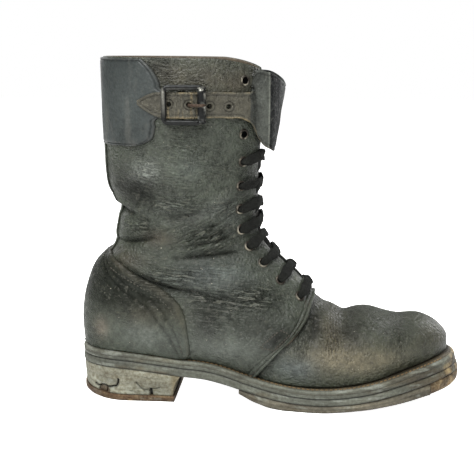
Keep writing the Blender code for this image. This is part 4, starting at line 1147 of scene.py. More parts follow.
@dataclass(frozen=True)
class Layer:
    """One layer of the sole: a profile of edge points carried round the sole's outline.

    Each profile row is the inset from the outline, the share of the way from the upper to the lower face, the
    tone of that line and, for some, a drop in millimetres.  The tones are lowered in the grooves and on the
    inner faces above and below as painted shade, and raised above 1 on some edge lines as painted highlights.
    """

    name: str
    nodes: tuple[str, ...]
    slot: str
    profile: tuple[tuple[float, ...], ...]
    tone: Colour
    streak: float = 0.5
    dents: float = 0.8
    start: float = 0.0
    end: float = 308.0
    slope: float = 0.0
    count: int = 190
    dirt: float = 0.6
    warm: float = 0.0

    def rings(self, top: Height, under: Height) -> Pair:
        """Return the ring of points at each station and the tone of each point."""
        x = sole_stations(self.start, self.end, self.count)
        outer, inner, tones = [], [], []
        for inset, share, tone, *drop in self.profile:
            moved, low, high = LAST.outline(x, inset)
            if self.start > 0:
                moved[0] = self.start
                moved = np.maximum(moved, self.start)
            if self.end < LAST.sole_length:
                moved[-1] = self.end
                moved = np.minimum(moved, self.end)
                lean = self.slope * (1 - (1 - share) ** 2)
                moved = moved - lean * ease(moved, self.end - 16, self.end)
            z = top(moved) + (under(moved) - top(moved)) * share - sum(drop)
            for wall, y, sign in ((outer, low, -1.0), (inner, high, 1.0)):
                points = worn_toe(np.stack([moved, y, z], axis=-1), inset)
                way = directions(np.gradient(points[:, :2], axis=0))
                out = np.stack([-sign * way[:, 1], sign * way[:, 0]], axis=-1)
                rough = NOISE.at(points + 20, 7, 3, (3, 3, 0.8)) - 0.5
                end_fade = ease(np.minimum(moved - moved[0], moved[-1] - moved), 0, 3)
                points[:, :2] += out * (self.dents * rough * end_fade)[:, None]
                wall.append(points)
            tones.append(tone)
        rings = np.stack(outer + inner[::-1], axis=1)
        level = np.array(tones + tones[::-1])[None, :, None]
        streak = NOISE.at(rings + 60, 4, 4, (7, 7, 0.5))[..., None]
        cloud = NOISE.at(rings + 160, 24, 3)[..., None]
        dirt = ease(NOISE.at(rings + 260, 11, 4, (2.5, 2.5, 0.8)), 0.45, 0.68)[..., None] * self.dirt
        dirt = np.maximum(dirt, self.warm * unit((1.05 - level) / 0.4))
        tone = blend(self.tone, srgb(72, 62, 43), dirt)
        # The profile's tones give painted shade in grooves and on inner faces and painted highlights on edge
        # lines.
        tone = tone * level * (1 + self.streak * (2 * streak - 1)) * (0.6 + 0.8 * cloud)
        scratch = ease(NOISE.at(rings + 360, 3, 3, (5, 5, 0.6)), 0.6, 0.72)[..., None] * (level > 0.8)
        tone = blend(tone, srgb(122, 126, 118), 0.5 * scratch)
        x, z = rings[..., 0], rings[..., 2]
        rubbed = ease(x - 277 - 0.9 * (z - 10) + 10 * (cloud[..., 0] - 0.5), -3, 6)[..., None]
        fleck = NOISE.at(rings + 460, 5, 5)[..., None]
        rubbed = 0.9 * rubbed * ease(fleck, 0.25, 0.45)
        bare = blend(srgb(66, 54, 36), srgb(150, 132, 96), ease(fleck, 0.4, 0.7))
        tone = blend(tone, bare * level, rubbed)
        return rings, np.broadcast_to(tone, rings.shape)

    def build(self, top: Height, under: Height, material: Material,
              change: Optional[Callable[[Array, Array], Pair]] = None) -> Object:
        """Build the layer in place of its solids."""
        rings, tone = self.rings(top, under)
        if change is not None:
            rings, tone = change(rings, tone)
        mesh = Mesh(self.name).grid(rings, tone, wrap=True, cap=True)
        item = mesh.build([material], smooth_angle=42.0, closed=True)
        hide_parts(*self.nodes)
        return item


@dataclass
class Sole:
    """Welt, midsole, outsole, half sole, toe plate, stacked heel and its iron."""

    welt_thick: float = 3.0
    gap: float = 0.15
    heel_breast: float = 84.0
    iron_thick: float = 5.0
    half_sole_start: float = 131.0
    toe_plate_start: float = 281.0
    edge_tone: Colour = srgb(75, 77, 69)
    tap_tone: Colour = srgb(88, 84, 72)
    block_tone: Colour = srgb(124, 125, 111)

    def heel_damage(self, rings: Array, tone: Array) -> Pair:
        """Break pieces out of the outer side of the heel: they are set back and darkened as painted shade."""
        x, y, z = np.moveaxis(rings, -1, 0)
        outer = y < LAST.plan_at(x, 2)
        rough = NOISE.at(rings + 11, 4, 3) - 0.5
        flake = ease(1.15 - np.hypot((x - 25) / 9, (z - 15.2) / 4) - 0.8 * rough, 0, 0.3)
        hollow = ease(1.15 - np.hypot((x - 22) / 5, (z - 7.4) / 2.6) - 0.8 * rough, 0, 0.3)
        depth = np.maximum(0.6 * flake, 2 * hollow)
        # Path in x and z, half width and depth of each crack
        cracks = (
            (((14, 10.4), (18, 9.6), (21, 11), (25, 10.2), (29.5, 10.8), (33, 12.2), (34.2, 17.4)), 0.7, 3.4),
            (((24.4, 10.4), (24, 4.6)), 0.9, 3.4), (((18, 9.6), (17.4, 6.4)), 0.5, 2.4),
            (((48.6, 15.4), (52, 12), (55.8, 8.2)), 0.4, 1.6), (((60.4, 9.8), (61.2, 3.6)), 1, 4),
            (((55, 9.4), (60, 10.2)), 0.4, 1.4), (((61, 10.6), (68, 11.6)), 0.35, 1.2),
            (((34.4, 9.4), (41, 8.6), (47.5, 8.2)), 0.3, 0.9), (((20, 22), (40, 21.5), (62, 19.5)), 0.3, 0.6),
        )
        for path, width, deep in cracks:
            distance, _ = nearest_on_line(x, z + 1.4 * rough, smooth_line(path, 12))
            depth = np.maximum(depth, deep * bell(distance, 0, width))
        depth = depth * outer
        rings = rings.copy()
        rings[..., 1] += depth
        shade = unit(depth / 2.2)[..., None]
        bare = 0.5 * ease(1.2 - np.hypot((x - 53.4) / 2.6, (z - 9.2) / 1.2), 0, 0.4)
        # The breaks are darkened by their depth as painted shade.
        tone = tone * (1 - 0.92 * shade) * (1 + bare * outer)[..., None]
        tone = tone + np.array(srgb(92, 70, 46)) * (0.4 * hollow * outer)[..., None]
        front = ease(x, self.heel_breast - 9, self.heel_breast - 5)[..., None]
        return rings, blend(tone, srgb(98, 88, 62), 0.7 * front)

    @staticmethod
    def iron_wear(rings: Array, tone: Array) -> Pair:
        """Rub the iron bright in streaks and leave it dark with rust between them."""
        bright = ease(NOISE.at(rings + 31, 3.2, 5, (2.5, 2.5, 1)), 0.46, 0.72)
        low = 1 - ease(rings[..., 2] - LAST.ground(rings[..., 0]), 1.2, 3.6)
        bright = (bright * (0.3 + 0.5 * low))[..., None]
        return rings, blend(tone, srgb(152, 136, 104), bright)

    def build(self, finishes: Finishes) -> None:
        """Build every layer from the welt down."""
        welt_under = lambda x: LAST.welt_top(x) - self.welt_thick
        mid_top = lambda x: LAST.welt_top(x) - self.welt_thick - self.gap
        mid_under = lambda x: LAST.outsole_top(x) + self.gap
        tap_top = lambda x: LAST.outsole_under(x) - self.gap
        iron_top = lambda x: LAST.ground(x) + self.iron_thick
        Layer("sole_welt", ("welt",), "sole_leather", (
            (14, 0, 0.35), (9, 0, 0.4), (7.4, 0, 0.6), (5.6, 0, 0.8),
            (5.1, 0, 0.6, 0.4), (4.3, 0, 0.55, 0.45), (3.8, 0, 0.85), (2.6, 0, 1.1, -0.15),
            (1.5, 0, 1.2, -0.05), (0.8, 0, 1.3, 0.2), (0.25, 0.2, 1.25), (0, 0.42, 1.1),
            (0, 0.66, 1), (0.05, 0.9, 0.96), (0.2, 1, 0.8), (6, 1, 0.2),
        ), self.edge_tone, dirt=0.35, warm=0.9).build(LAST.welt_top, welt_under, finishes.sole)
        Layer("sole_middle", ("midsole",), "sole_leather", (
            (6, 0, 0.2), (0.2, 0, 0.8), (0.05, 0.1, 0.96), (0.2, 0.4, 1),
            (0.3, 0.7, 0.9), (0.55, 0.88, 0.7), (1.2, 1, 0.25), (6, 1, 0.2),
        ), self.edge_tone).build(mid_top, mid_under, finishes.sole)
        Layer("sole_outer", ("outsole",), "sole_leather", (
            (6, 0, 0.2), (1.2, 0, 0.3), (0.5, 0.12, 1), (0.1, 0.3, 1.15),
            (0.15, 0.42, 0.95), (0.05, 0.54, 1.1), (0, 0.78, 1), (0.4, 0.92, 0.7),
            (1.2, 1, 0.3), (8, 1, 0.5),
        ), self.edge_tone).build(LAST.outsole_top, LAST.outsole_under, finishes.sole)
        tap_profile = (
            (8, 0, 0.3), (1.4, 0, 0.3), (0.6, 0.14, 0.9), (0.4, 0.36, 1.1),
            (0.7, 0.5, 0.7), (0.5, 0.66, 1), (0.9, 0.88, 0.8), (1.7, 1, 0.6),
            (8, 1, 0.7),
        )
        Layer("sole_half", ("half_sole",), "tap_leather", tap_profile, self.tap_tone, 0.7, 0.8,
              self.half_sole_start, self.toe_plate_start).build(tap_top, LAST.ground, finishes.tap)
        Layer("toe_iron", ("toe_plate",), "rusty_iron", (
            (8, 0, 0.5), (0.8, 0, 0.5), (0.3, 0.12, 1), (0.6, 0.4, 1),
            (1.2, 0.7, 1), (2, 0.94, 0.9), (2.6, 1, 0.8), (9, 1, 0.8),
        ), srgb(92, 80, 58), 0.7, 1.3, self.toe_plate_start + 0.3).build(
            tap_top, LAST.ground, finishes.iron, self.iron_wear)
        block = Layer("heel_stack", ("heel_block",), "heel_leather", tuple(
            [(9, 0, 0.2), (1, 0, 0.3)]
            + [(0.5 + 1.2 * share + 0.12 * (step % 6 == 0), share, 0.86 if step % 6 == 0 else 1.0)
               for step, share in enumerate(np.linspace(0.03, 0.97, 25))]
            + [(2, 1, 0.5), (9, 1, 0.3)]
        ), self.block_tone, 0.3, 0.7, 0.0, self.heel_breast, 6.0, 420, 0.3)
        block.build(tap_top, lambda x: iron_top(x) + self.gap, finishes.heel, self.heel_damage)
        Layer("heel_iron", ("heel_plate",), "rusty_iron", (
            (9, 0, 0.5), (1.4, 0, 0.7), (0.7, 0.12, 1.2), (0.6, 0.5, 1),
            (0.8, 0.86, 0.9), (1.5, 1, 0.6), (9, 1, 0.6),
        ), srgb(78, 61, 42), 0.7, 0.9, 0.0, self.heel_breast - 5, 0.0, 300).build(
            iron_top, LAST.ground, finishes.iron, self.iron_wear)


def edge_roll(distance: Array, radius: float) -> Array:
    """Return the rise of a rounded edge: a quarter circle up to its radius, then level."""
    t = unit(1 - distance / radius)
    return np.sqrt(1 - t ** 2)


@dataclass
class HeelCounter:
    """Heel counter and backstay: the upper's own surface, cut off at their edges and laid on the quarters."""

    thick: float = 2.3
    inner: float = 1.6
    first_row: float = 12.1
    end_row: float = 24.0
    rows: int = 130
    columns: int = 70
    stitch_line: float = 8.4
    stay_half: float = 11.0
    edge: Places = (
        (0, 124), (26.6, 117.5), (49.9, 103.2), (73.2, 91.6), (83.3, 83), (88.7, 72.7), (91, 60.6),
        (93.1, 37),
    )

    def edge_turn(self) -> Pair:
        """Return the sections that the counter covers and the turn of its edge in each."""
        edge = smooth_line(self.edge, 120)
        rows = np.linspace(self.first_row, self.end_row, 500)
        first, last = LAST.turn_range(rows)
        share = np.linspace(0, 1, 300)
        view = LAST.skin(rows[:, None], first[:, None] + share * (last - first)[:, None], -1.0)
        x, z = view[..., 0], view[..., 2]
        covered = (z < np.interp(x, edge[:, 0], edge[:, 1])) & (x < edge[-1, 0])
        length = covered[:, ::-1].cumprod(axis=1).sum(axis=1)
        used = length >= 3
        u = np.linspace(rows[used][0], rows[used][-1], self.rows)
        start = np.interp(u, rows, 1 - length / len(share))
        first, last = LAST.turn_range(u)
        return u, first + start * (last - first)

    def counter(self, finishes: Finishes) -> Object:
        """Build the counter with its rolled edge, its stitch groove and the stiffener's raised field."""
        u, edge = self.edge_turn()
        _, last = LAST.turn_range(u)
        half = LAST.section(u)[4]
        share = np.linspace(0, 1, self.columns) ** 1.5
        turn = edge[:, None] + share[None, :] * (last - edge)[:, None]
        inside = (turn - edge[:, None]) * half[:, None]
        mesh = Mesh("heel_counter")
        for side in (-1.0, 1.0):
            base = LAST.leather(u[:, None], turn, side)
            heights = 0.7 * hide_heights(base) * ease(inside, 0, 10)
            groove = -0.45 * (bell(inside, self.stitch_line, 0.7) + bell(inside, self.stitch_line - 2.8, 0.6))
            field = 0.7 * ease(inside, self.stitch_line, self.stitch_line + 3)
            lift = LAST.quarter_step - 0.3 + (self.thick + 0.3) * edge_roll(inside, 2.2)
            lift = lift + groove + field + heights
            points = LAST.leather(u[:, None], turn, side, lift)
            # The stitch grooves are darkened as painted shade through their deepened heights, and the counter
            # is darkened towards its top as painted shade.
            tone = 0.85 * hide_paint(base, heights + groove * 4)
            tone *= (1 - 0.45 * ease(base[..., 2], 66, 84))[..., None]
            worn = bell(inside, 1.2, 1.2)[..., None] * NOISE.at(base, 8, 2)[..., None]
            tone = blend(tone, srgb(78, 72, 58), 0.3 * worn)
            mesh.grid(points, tone, hide_masks(base), flip=side < 0)
        item = thicken(mesh.build([finishes.counter]), self.inner)
        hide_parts("counter")
        return item

    def backstay(self, finishes: Finishes) -> Object:
        """Build the strip up the back seam, from the counter to the cuff."""
        u, _ = self.edge_turn()
        rows = np.linspace(u[-1] - 0.4, LAST.cuff_row + 0.1, 110)
        _, last = LAST.turn_range(rows)
        half = LAST.section(rows)[4]
        reach = np.arcsin(unit(self.stay_half / half))
        share = np.linspace(0, 1, 18) ** 1.4
        turn = (last - reach)[:, None] + share[None, :] * reach[:, None]
        inside = share[None, :] * self.stay_half
        mesh = Mesh("back_strip")
        for side in (-1.0, 1.0):
            base = LAST.leather(rows[:, None], turn, side)
            heights = hide_heights(base)
            lift = LAST.quarter_step - 0.3 + 1.5 * edge_roll(inside, 1.6) + heights
            # The strip is darkened along its edges as painted shade.
            tone = hide_paint(base, heights) * (0.35 + 0.6 * ease(inside, 0.2, 1.3))[..., None]
            mesh.grid(LAST.leather(rows[:, None], turn, side, lift), tone, None, flip=side < 0)
        item = thicken(mesh.build([finishes.counter]), 1.0)
        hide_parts("backstay")
        return item

    def build(self, finishes: Finishes) -> None:
        """Build counter and backstay."""
        self.counter(finishes)
        self.backstay(finishes)


@dataclass
class Cuff:
    """Smooth cuff round the back of the shaft, with a bound edge and a stitch groove behind it."""

    thick: float = 2.3
    rows: int = 84
    columns: int = 120
    medial_x: float = 76.0
    groove_at: float = 2.4
    edge: Places = (
        (204, 48), (205.4, 55), (208.6, 62.8), (219, 69), (226.5, 72.8), (229, 82), (231.5, 87.5),
        (240.5, 87.5), (243.5, 82), (246.5, 75), (252, 72.6), (258, 69.6), (264, 65), (269.6, 59),
    )

    def build(self, finishes: Finishes) -> None:
        """Build the cuff from its outer edge round the back to its inner edge."""
        table = np.array(self.edge).T
        z = np.linspace(table[0, 0], table[0, -1], self.rows)
        rows = np.arange(LAST.cuff_row, LAST.last_row + 1, dtype=float)
        u = np.interp(z, LAST.skin(rows, math.pi / 2, -1.0)[:, 2], rows)
        outer = LAST.locate(np.clip(curve(z, *table), 47.0, 88.0), z)[1]
        inner = LAST.locate(np.full_like(z, self.medial_x), z)[1]
        _, last = LAST.turn_range(u)
        half = LAST.section(u)[4]
        way = np.linspace(0, 1, self.columns)
        way = 0.5 * way + 0.5 * ease(way, 0, 1)
        total = (last - outer) + (last - inner)
        run = way[None, :] * total[:, None]
        lateral = run <= (last - outer)[:, None]
        turn = np.where(lateral, outer[:, None] + run, 2 * last[:, None] - outer[:, None] - run)
        side = np.where(lateral, -1.0, 1.0)
        rows_u = np.broadcast_to(u[:, None], turn.shape)
        from_ends = np.minimum(run, total[:, None] - run) * half[:, None]
        inside = np.minimum(from_ends, np.minimum(z - z[0], z[-1] - z + 0.6)[:, None])
        base = LAST.leather(rows_u, turn, side)
        dents = 1.5 * (NOISE.at(base + 400, 30, 3) - 0.5)
        groove = -0.5 * bell(inside, self.groove_at, 0.6)
        lift = LAST.quarter_step - 0.2 + (self.thick + 0.2) * edge_roll(inside, 1.8) + groove + dents
        points = LAST.leather(rows_u, turn, side, lift)
        cloud = NOISE.at(base + 210, 26, 4)[..., None]
        tone = np.array(srgb(40, 44, 43)) * (0.6 + 0.8 * cloud)
        # The stitch groove is darkened as painted shade.
        tone = tone * (1 + 1.1 * groove)[..., None]
        scratch = ease(NOISE.at(base + 77, 10, 4, (0.5, 0.5, 3)), 0.56, 0.72)[..., None]
        tone = blend(tone, srgb(110, 108, 100), 0.12 * scratch)
        # The edge is tinted darker as painted shade.
        rim = bell(inside, 0, 1.1)[..., None]
        tone = blend(tone, srgb(40, 38, 34), 0.5 * rim)
        item = thicken(Mesh("shaft_cuff").grid(points, tone, None, flip=True).build([finishes.cuff]), 1.6)
        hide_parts("cuff")


@dataclass
class Strap:
    """Front flap that folds round the throat and narrows to the buckled strap."""

    thick: float = 1.8
    rows: int = 400
    columns: int = 43
    hole_radius: float = 1.7
    ring_radius: float = 3.7
    holes: Places = ((79.8, 236.6), (94.6, 236.3), (109.0, 235.0), (123.0, 234.4))
    # Inner side: x, lift, height of the upper and of the lower edge
    inner: tuple = (
        (78, 0.6, 264, 207), (89, 0.6, 264.3, 206.8), (100, 0.6, 264.5, 206.5), (111, 0.7, 264.4, 206),
        (122, 1.2, 264, 205), (131, 2.2, 263.2, 204), (138, 3.4, 262, 203),
    )
    # Clear of the shaft: x, y and height of the upper and of the lower edge
    front: tuple = (
        (152, 23, 259, 150, 14, 200.5), (161.5, 12, 253, 153.6, 6, 198),
        (163, 6, 250, 154.4, 1, 197.5), (161.5, 0, 251.5, 154.2, -5, 198),
        (153.5, -19, 259, 152.6, -15.5, 200.6), (151, -21.8, 259.8, 150.4, -17.6, 202),
        (142, -23.6, 259.6, 145.6, -19.8, 207), (138.8, -24, 250.6, 142.2, -21.8, 212.4),
    )
    # Outer side, out to the tip: the columns of the inner side
    outer: tuple = (
        (137, 2.6, 246.2, 219.6), (131, 2, 244.8, 225), (122, 1, 245.2, 225.8), (112, 1.2, 245.6, 226.3),
        (104.5, 3.3, 245.7, 226.3), (99, 4.3, 245.7, 226.3), (95, 5.2, 245.7, 226.3), (90, 5.6, 245.7, 226.3),
        (84, 4.8, 245.7, 226.3), (76, 3.2, 245.7, 226.3), (70, 2.8, 245.3, 227.6), (62, 2.6, 242.5, 231.8),
        (56.5, 2.6, 239, 235.8),
    )

    def grid(self) -> Pair:
        """Return the strap's points, row by row to the tip, and how far past the front fold each row lies."""
        share = np.linspace(0, 1, self.columns)
        places = []
        for table, side in ((self.inner, 1.0), (self.outer, -1.0)):
            for x, lift, top, bottom in table:
                z = bottom + (top - bottom) * share
                u, turn = LAST.locate(np.full_like(z, x), z)
                places.append(LAST.leather(u, turn, side, lift + LAST.quarter_step))
            if side > 0:
                for row in self.front:
                    top, low = np.array(row[:3]), np.array(row[3:])
                    places.append(low + (top - low) * share[:, None])
        places = np.stack(places)
        way = way_along(places.mean(axis=1))
        at = np.linspace(0, way[-1], self.rows)
        flat = [curve(at, way, column) for column in places.reshape(len(places), -1).T]
        fold = way[len(self.inner) + 4: len(self.inner) + 6].mean()
        return np.stack(flat, axis=-1).reshape(self.rows, self.columns, 3), (at - fold)[:, None]

    def build(self, finishes: Finishes) -> None:
        """Build the strap with its punched holes, worn edges and cracks at the buckle, with painted light and
        shade on its flap and painted shade in its holes and grooves.
        """
        points, past = self.grid()
        along = np.gradient(points, axis=0)
        across = np.gradient(points, axis=1)
        out = directions(np.cross(across, along))
        x, y, z = np.moveaxis(points, -1, 0)
        on_strap = (y < 0) & (x < 138.0)
        width = np.linalg.norm(points[:, -1] - points[:, 0], axis=-1)[:, None]
        share = np.linspace(0, 1, self.columns)[None, :]
        from_edge = np.minimum(share, 1 - share) * width
        pit = np.zeros(x.shape)
        ring = np.zeros(x.shape)
        for hx, hz in self.holes:
            r = np.hypot(x - hx, z - hz)
            pit = np.maximum(pit, (1 - ease(r, self.hole_radius - 0.4, self.hole_radius + 0.4)) * on_strap)
            ring = np.maximum(ring, bell(r, self.ring_radius, 0.5) * on_strap)
        noise = NOISE.at(points + 130, 12, 4)
        lift = self.thick * edge_roll(from_edge, 1.0) * 0.35 + 1.2 * (noise - 0.5) - 3.4 * pit - 0.3 * ring
        groove = bell(from_edge, 2.6, 0.7)
        lift -= 0.35 * groove
        points = points + out * (lift + self.thick * 0.65)[..., None]
        base = np.where(on_strap[..., None], np.array(srgb(55, 53, 44)), np.array(srgb(38, 40, 36)))
        # The flap's near face is painted lighter towards the front fold as painted light.
        base = base * (1 + 0.7 * (1 - ease(past, 0, 13)) * (past > 0))[..., None]
        # The face past the fold is painted dark as shade, with a painted highlight along its far rim.
        front = (ease(-past, -0.3, 0.5) * (x > 146.0))[..., None]
        rim = 0.6 * ease(x, 157, 163)[..., None]
        base = blend(base, blend(srgb(14, 16, 16), srgb(54, 58, 56), rim), front)
        # A painted highlight runs along the fold line.
        fold = bell(past, 0.5, 0.6) * np.ones_like(x)
        base = base + (0.5 * fold)[..., None] * np.array(srgb(100, 102, 94))
        tone = base * (0.6 + 0.8 * noise[..., None])
        edge = bell(from_edge, 0, 0.9)[..., None]
        crack = ease(NOISE.at(points + 500, 4, 3, (0.4, 1, 6)), 0.5, 0.68)[..., None]
        crack = crack * (on_strap & (x > 74.0) & (x < 106.0))[..., None]
        chafed = edge * ease(noise, 0.46, 0.64)[..., None] * np.where(on_strap, 0.9, 0.3)[..., None]
        wear = unit(chafed + 0.6 * crack)
        tone = blend(tone, srgb(116, 104, 78), wear)
        # Ring, stitch groove and holes are darkened as painted shade.
        for mark, dark in ((ring, 0.7), (groove, 0.45), (pit, 0.94)):
            tone = tone * (1 - dark * mark[..., None])
        mask = np.zeros(points.shape)
        mask[..., 1] = on_strap * np.where((x > 74.0) & (x < 106.0), 0.5, 0.08)
        item = thicken(Mesh("cuff_strap").grid(points, tone, mask).build([finishes.strap]), self.thick)
        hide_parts("strap")


def place_on_upper(x: float, z: float, side: float) -> tuple[Array, Array, Array, Array]:
    """Return a point of the upper in the side view, with the directions forward, upward and outward there."""
    u, turn = LAST.locate(x, z)
    point = LAST.leather(u, turn, side, LAST.quarter_step)
    outward = LAST.normal(u, turn, side)
    forward = directions(np.cross(np.array([0.0, 0.0, 1.0]), outward) * -side)
    upward = np.cross(outward, forward) * side
    return point, forward, upward * np.sign(upward[2]), outward


def sweep(path: Array, out: Array, width: Array, thick: Array, sides: int = 12,
          closed: bool = False) -> Array:
    """Carry a rounded flat section along a path.

    Args:
        path: points of the path.
        out: direction of the section's thin side, one or at each point.
        width, thick: full sizes of the section at each point.
        sides: points round the section.
        closed: the path comes back to its start.

    Returns:
        A ring of points for each point of the path: half the width across and half the thickness out, each by
        a rounded square wave of the angle.
    """
    if closed:
        along = np.roll(path, -1, axis=0) - np.roll(path, 1, axis=0)
    else:
        along = np.gradient(path, axis=0)
    along = directions(along)
    across = directions(np.cross(along, out))
    out = np.cross(across, along)
    angle = np.arange(sides) * 2 * math.pi / sides
    flat = np.sign(np.cos(angle)) * np.abs(np.cos(angle)) ** 0.6
    tall = np.sign(np.sin(angle)) * np.abs(np.sin(angle)) ** 0.8
    half_width = np.broadcast_to(np.asarray(width, float), len(path)) / 2
    half_thick = np.broadcast_to(np.asarray(thick, float), len(path)) / 2
    return (path[:, None] + flat[None, :, None] * half_width[:, None, None] * across[:, None]
            + tall[None, :, None] * half_thick[:, None, None] * out[:, None])


@dataclass
class Buckle:
    """Steel buckle with a thick roller on its right bar, and its rusty prong."""

    x: float = 90.0
    z: float = 236.3
    width: float = 29.0
    height: float = 26.0
    corner: float = 3.2
    bar: float = 3.9
    roller: float = 6.6
    lift: float = 6.2

    def build(self, finishes: Finishes) -> None:
        """Build the frame, the roller and the prong."""
        point, forward, upward, outward = place_on_upper(self.x, self.z, -1.0)

        def place(along: Array, up: Array, lift: Array) -> Array:
            """Return points in the buckle's own directions."""
            along, up, lift = np.broadcast_arrays(along, up, lift)
            return point + along[..., None] * forward + up[..., None] * upward + lift[..., None] * outward

        turns = np.radians(np.linspace(0, 90, 7))
        along, up = [], []
        for sign_x, sign_z, start in ((1, 1, 0), (-1, 1, 90), (-1, -1, 180), (1, -1, 270)):
            angle = turns + math.radians(start)
            along.append(sign_x * (self.width / 2 - self.corner) + self.corner * np.cos(angle))
            up.append(sign_z * (self.height / 2 - self.corner) + self.corner * np.sin(angle))
        path = place(np.concatenate(along), np.concatenate(up), self.lift)
        mesh = Mesh("buckle_loop")

        def metal(points: Array) -> Array:
            """Return the worn tone of the steel."""
            share = ease(NOISE.at(points + 900, 4, 4), 0.54, 0.72)[..., None]
            return blend(srgb(36, 37, 37), srgb(150, 150, 142), share)

        rings = sweep(path, outward, self.bar, 3.2, closed=True)
        rings = np.concatenate([rings, rings[:1]])
        mesh.grid(rings, metal(rings), wrap=True)
        up = np.linspace(-self.height / 2 - 0.6, self.height / 2 + 0.6, 40)
        near_end = np.abs(up) / (self.height / 2 + 0.6)
        size = self.roller * np.where(near_end > 0.82, 0.62 + 0.5 * np.sqrt(unit(
            1 - ((near_end - 0.92) / 0.082) ** 2)), 1 - 0.1 * ease(near_end, 0.7, 0.82))
        rod = place(np.full_like(up, self.width / 2 - 0.6), up, np.full_like(up, self.lift + 0.3))
        rings = sweep(rod, outward, size, size * 0.85, 14)
        mesh.grid(rings, metal(rings), wrap=True, cap=True)
        bar = np.linspace(-self.height / 2, self.height / 2, 12)
        sunk = self.lift - 2.2 * np.sqrt(unit(1 - (bar / (self.height / 2)) ** 4))
        rod = place(np.zeros_like(bar), bar, sunk)
        rings = sweep(rod, outward, 2.4, 2.4, 8)
        mesh.grid(rings, metal(rings) * 0.5, wrap=True, cap=True)
        frame = mesh.build([finishes.steel], closed=True)
        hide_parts("buckle_frame")
        over = self.lift + self.roller / 2 + 0.7
        spine = smooth_line(place(np.array([4.2, 5.2, 8.2, 13.0, 17.0]), np.zeros(5),
                                  np.array([4.4, 7.4, 9.0, over, over - 1.2])), 26)
        size = np.interp(np.linspace(0, 1, 26), [0.0, 0.1, 0.9, 1.0], [1.6, 2.6, 2.2, 0.9])
        rings = sweep(spine, outward, size, size, 10)
        rust = np.array(srgb(62, 50, 40)) * (0.5 + NOISE.at(rings, 3, 3)[..., None])
        prong = Mesh("buckle_pin").grid(rings, rust, wrap=True, cap=True).build([finishes.iron], closed=True)
        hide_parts("buckle_prong")


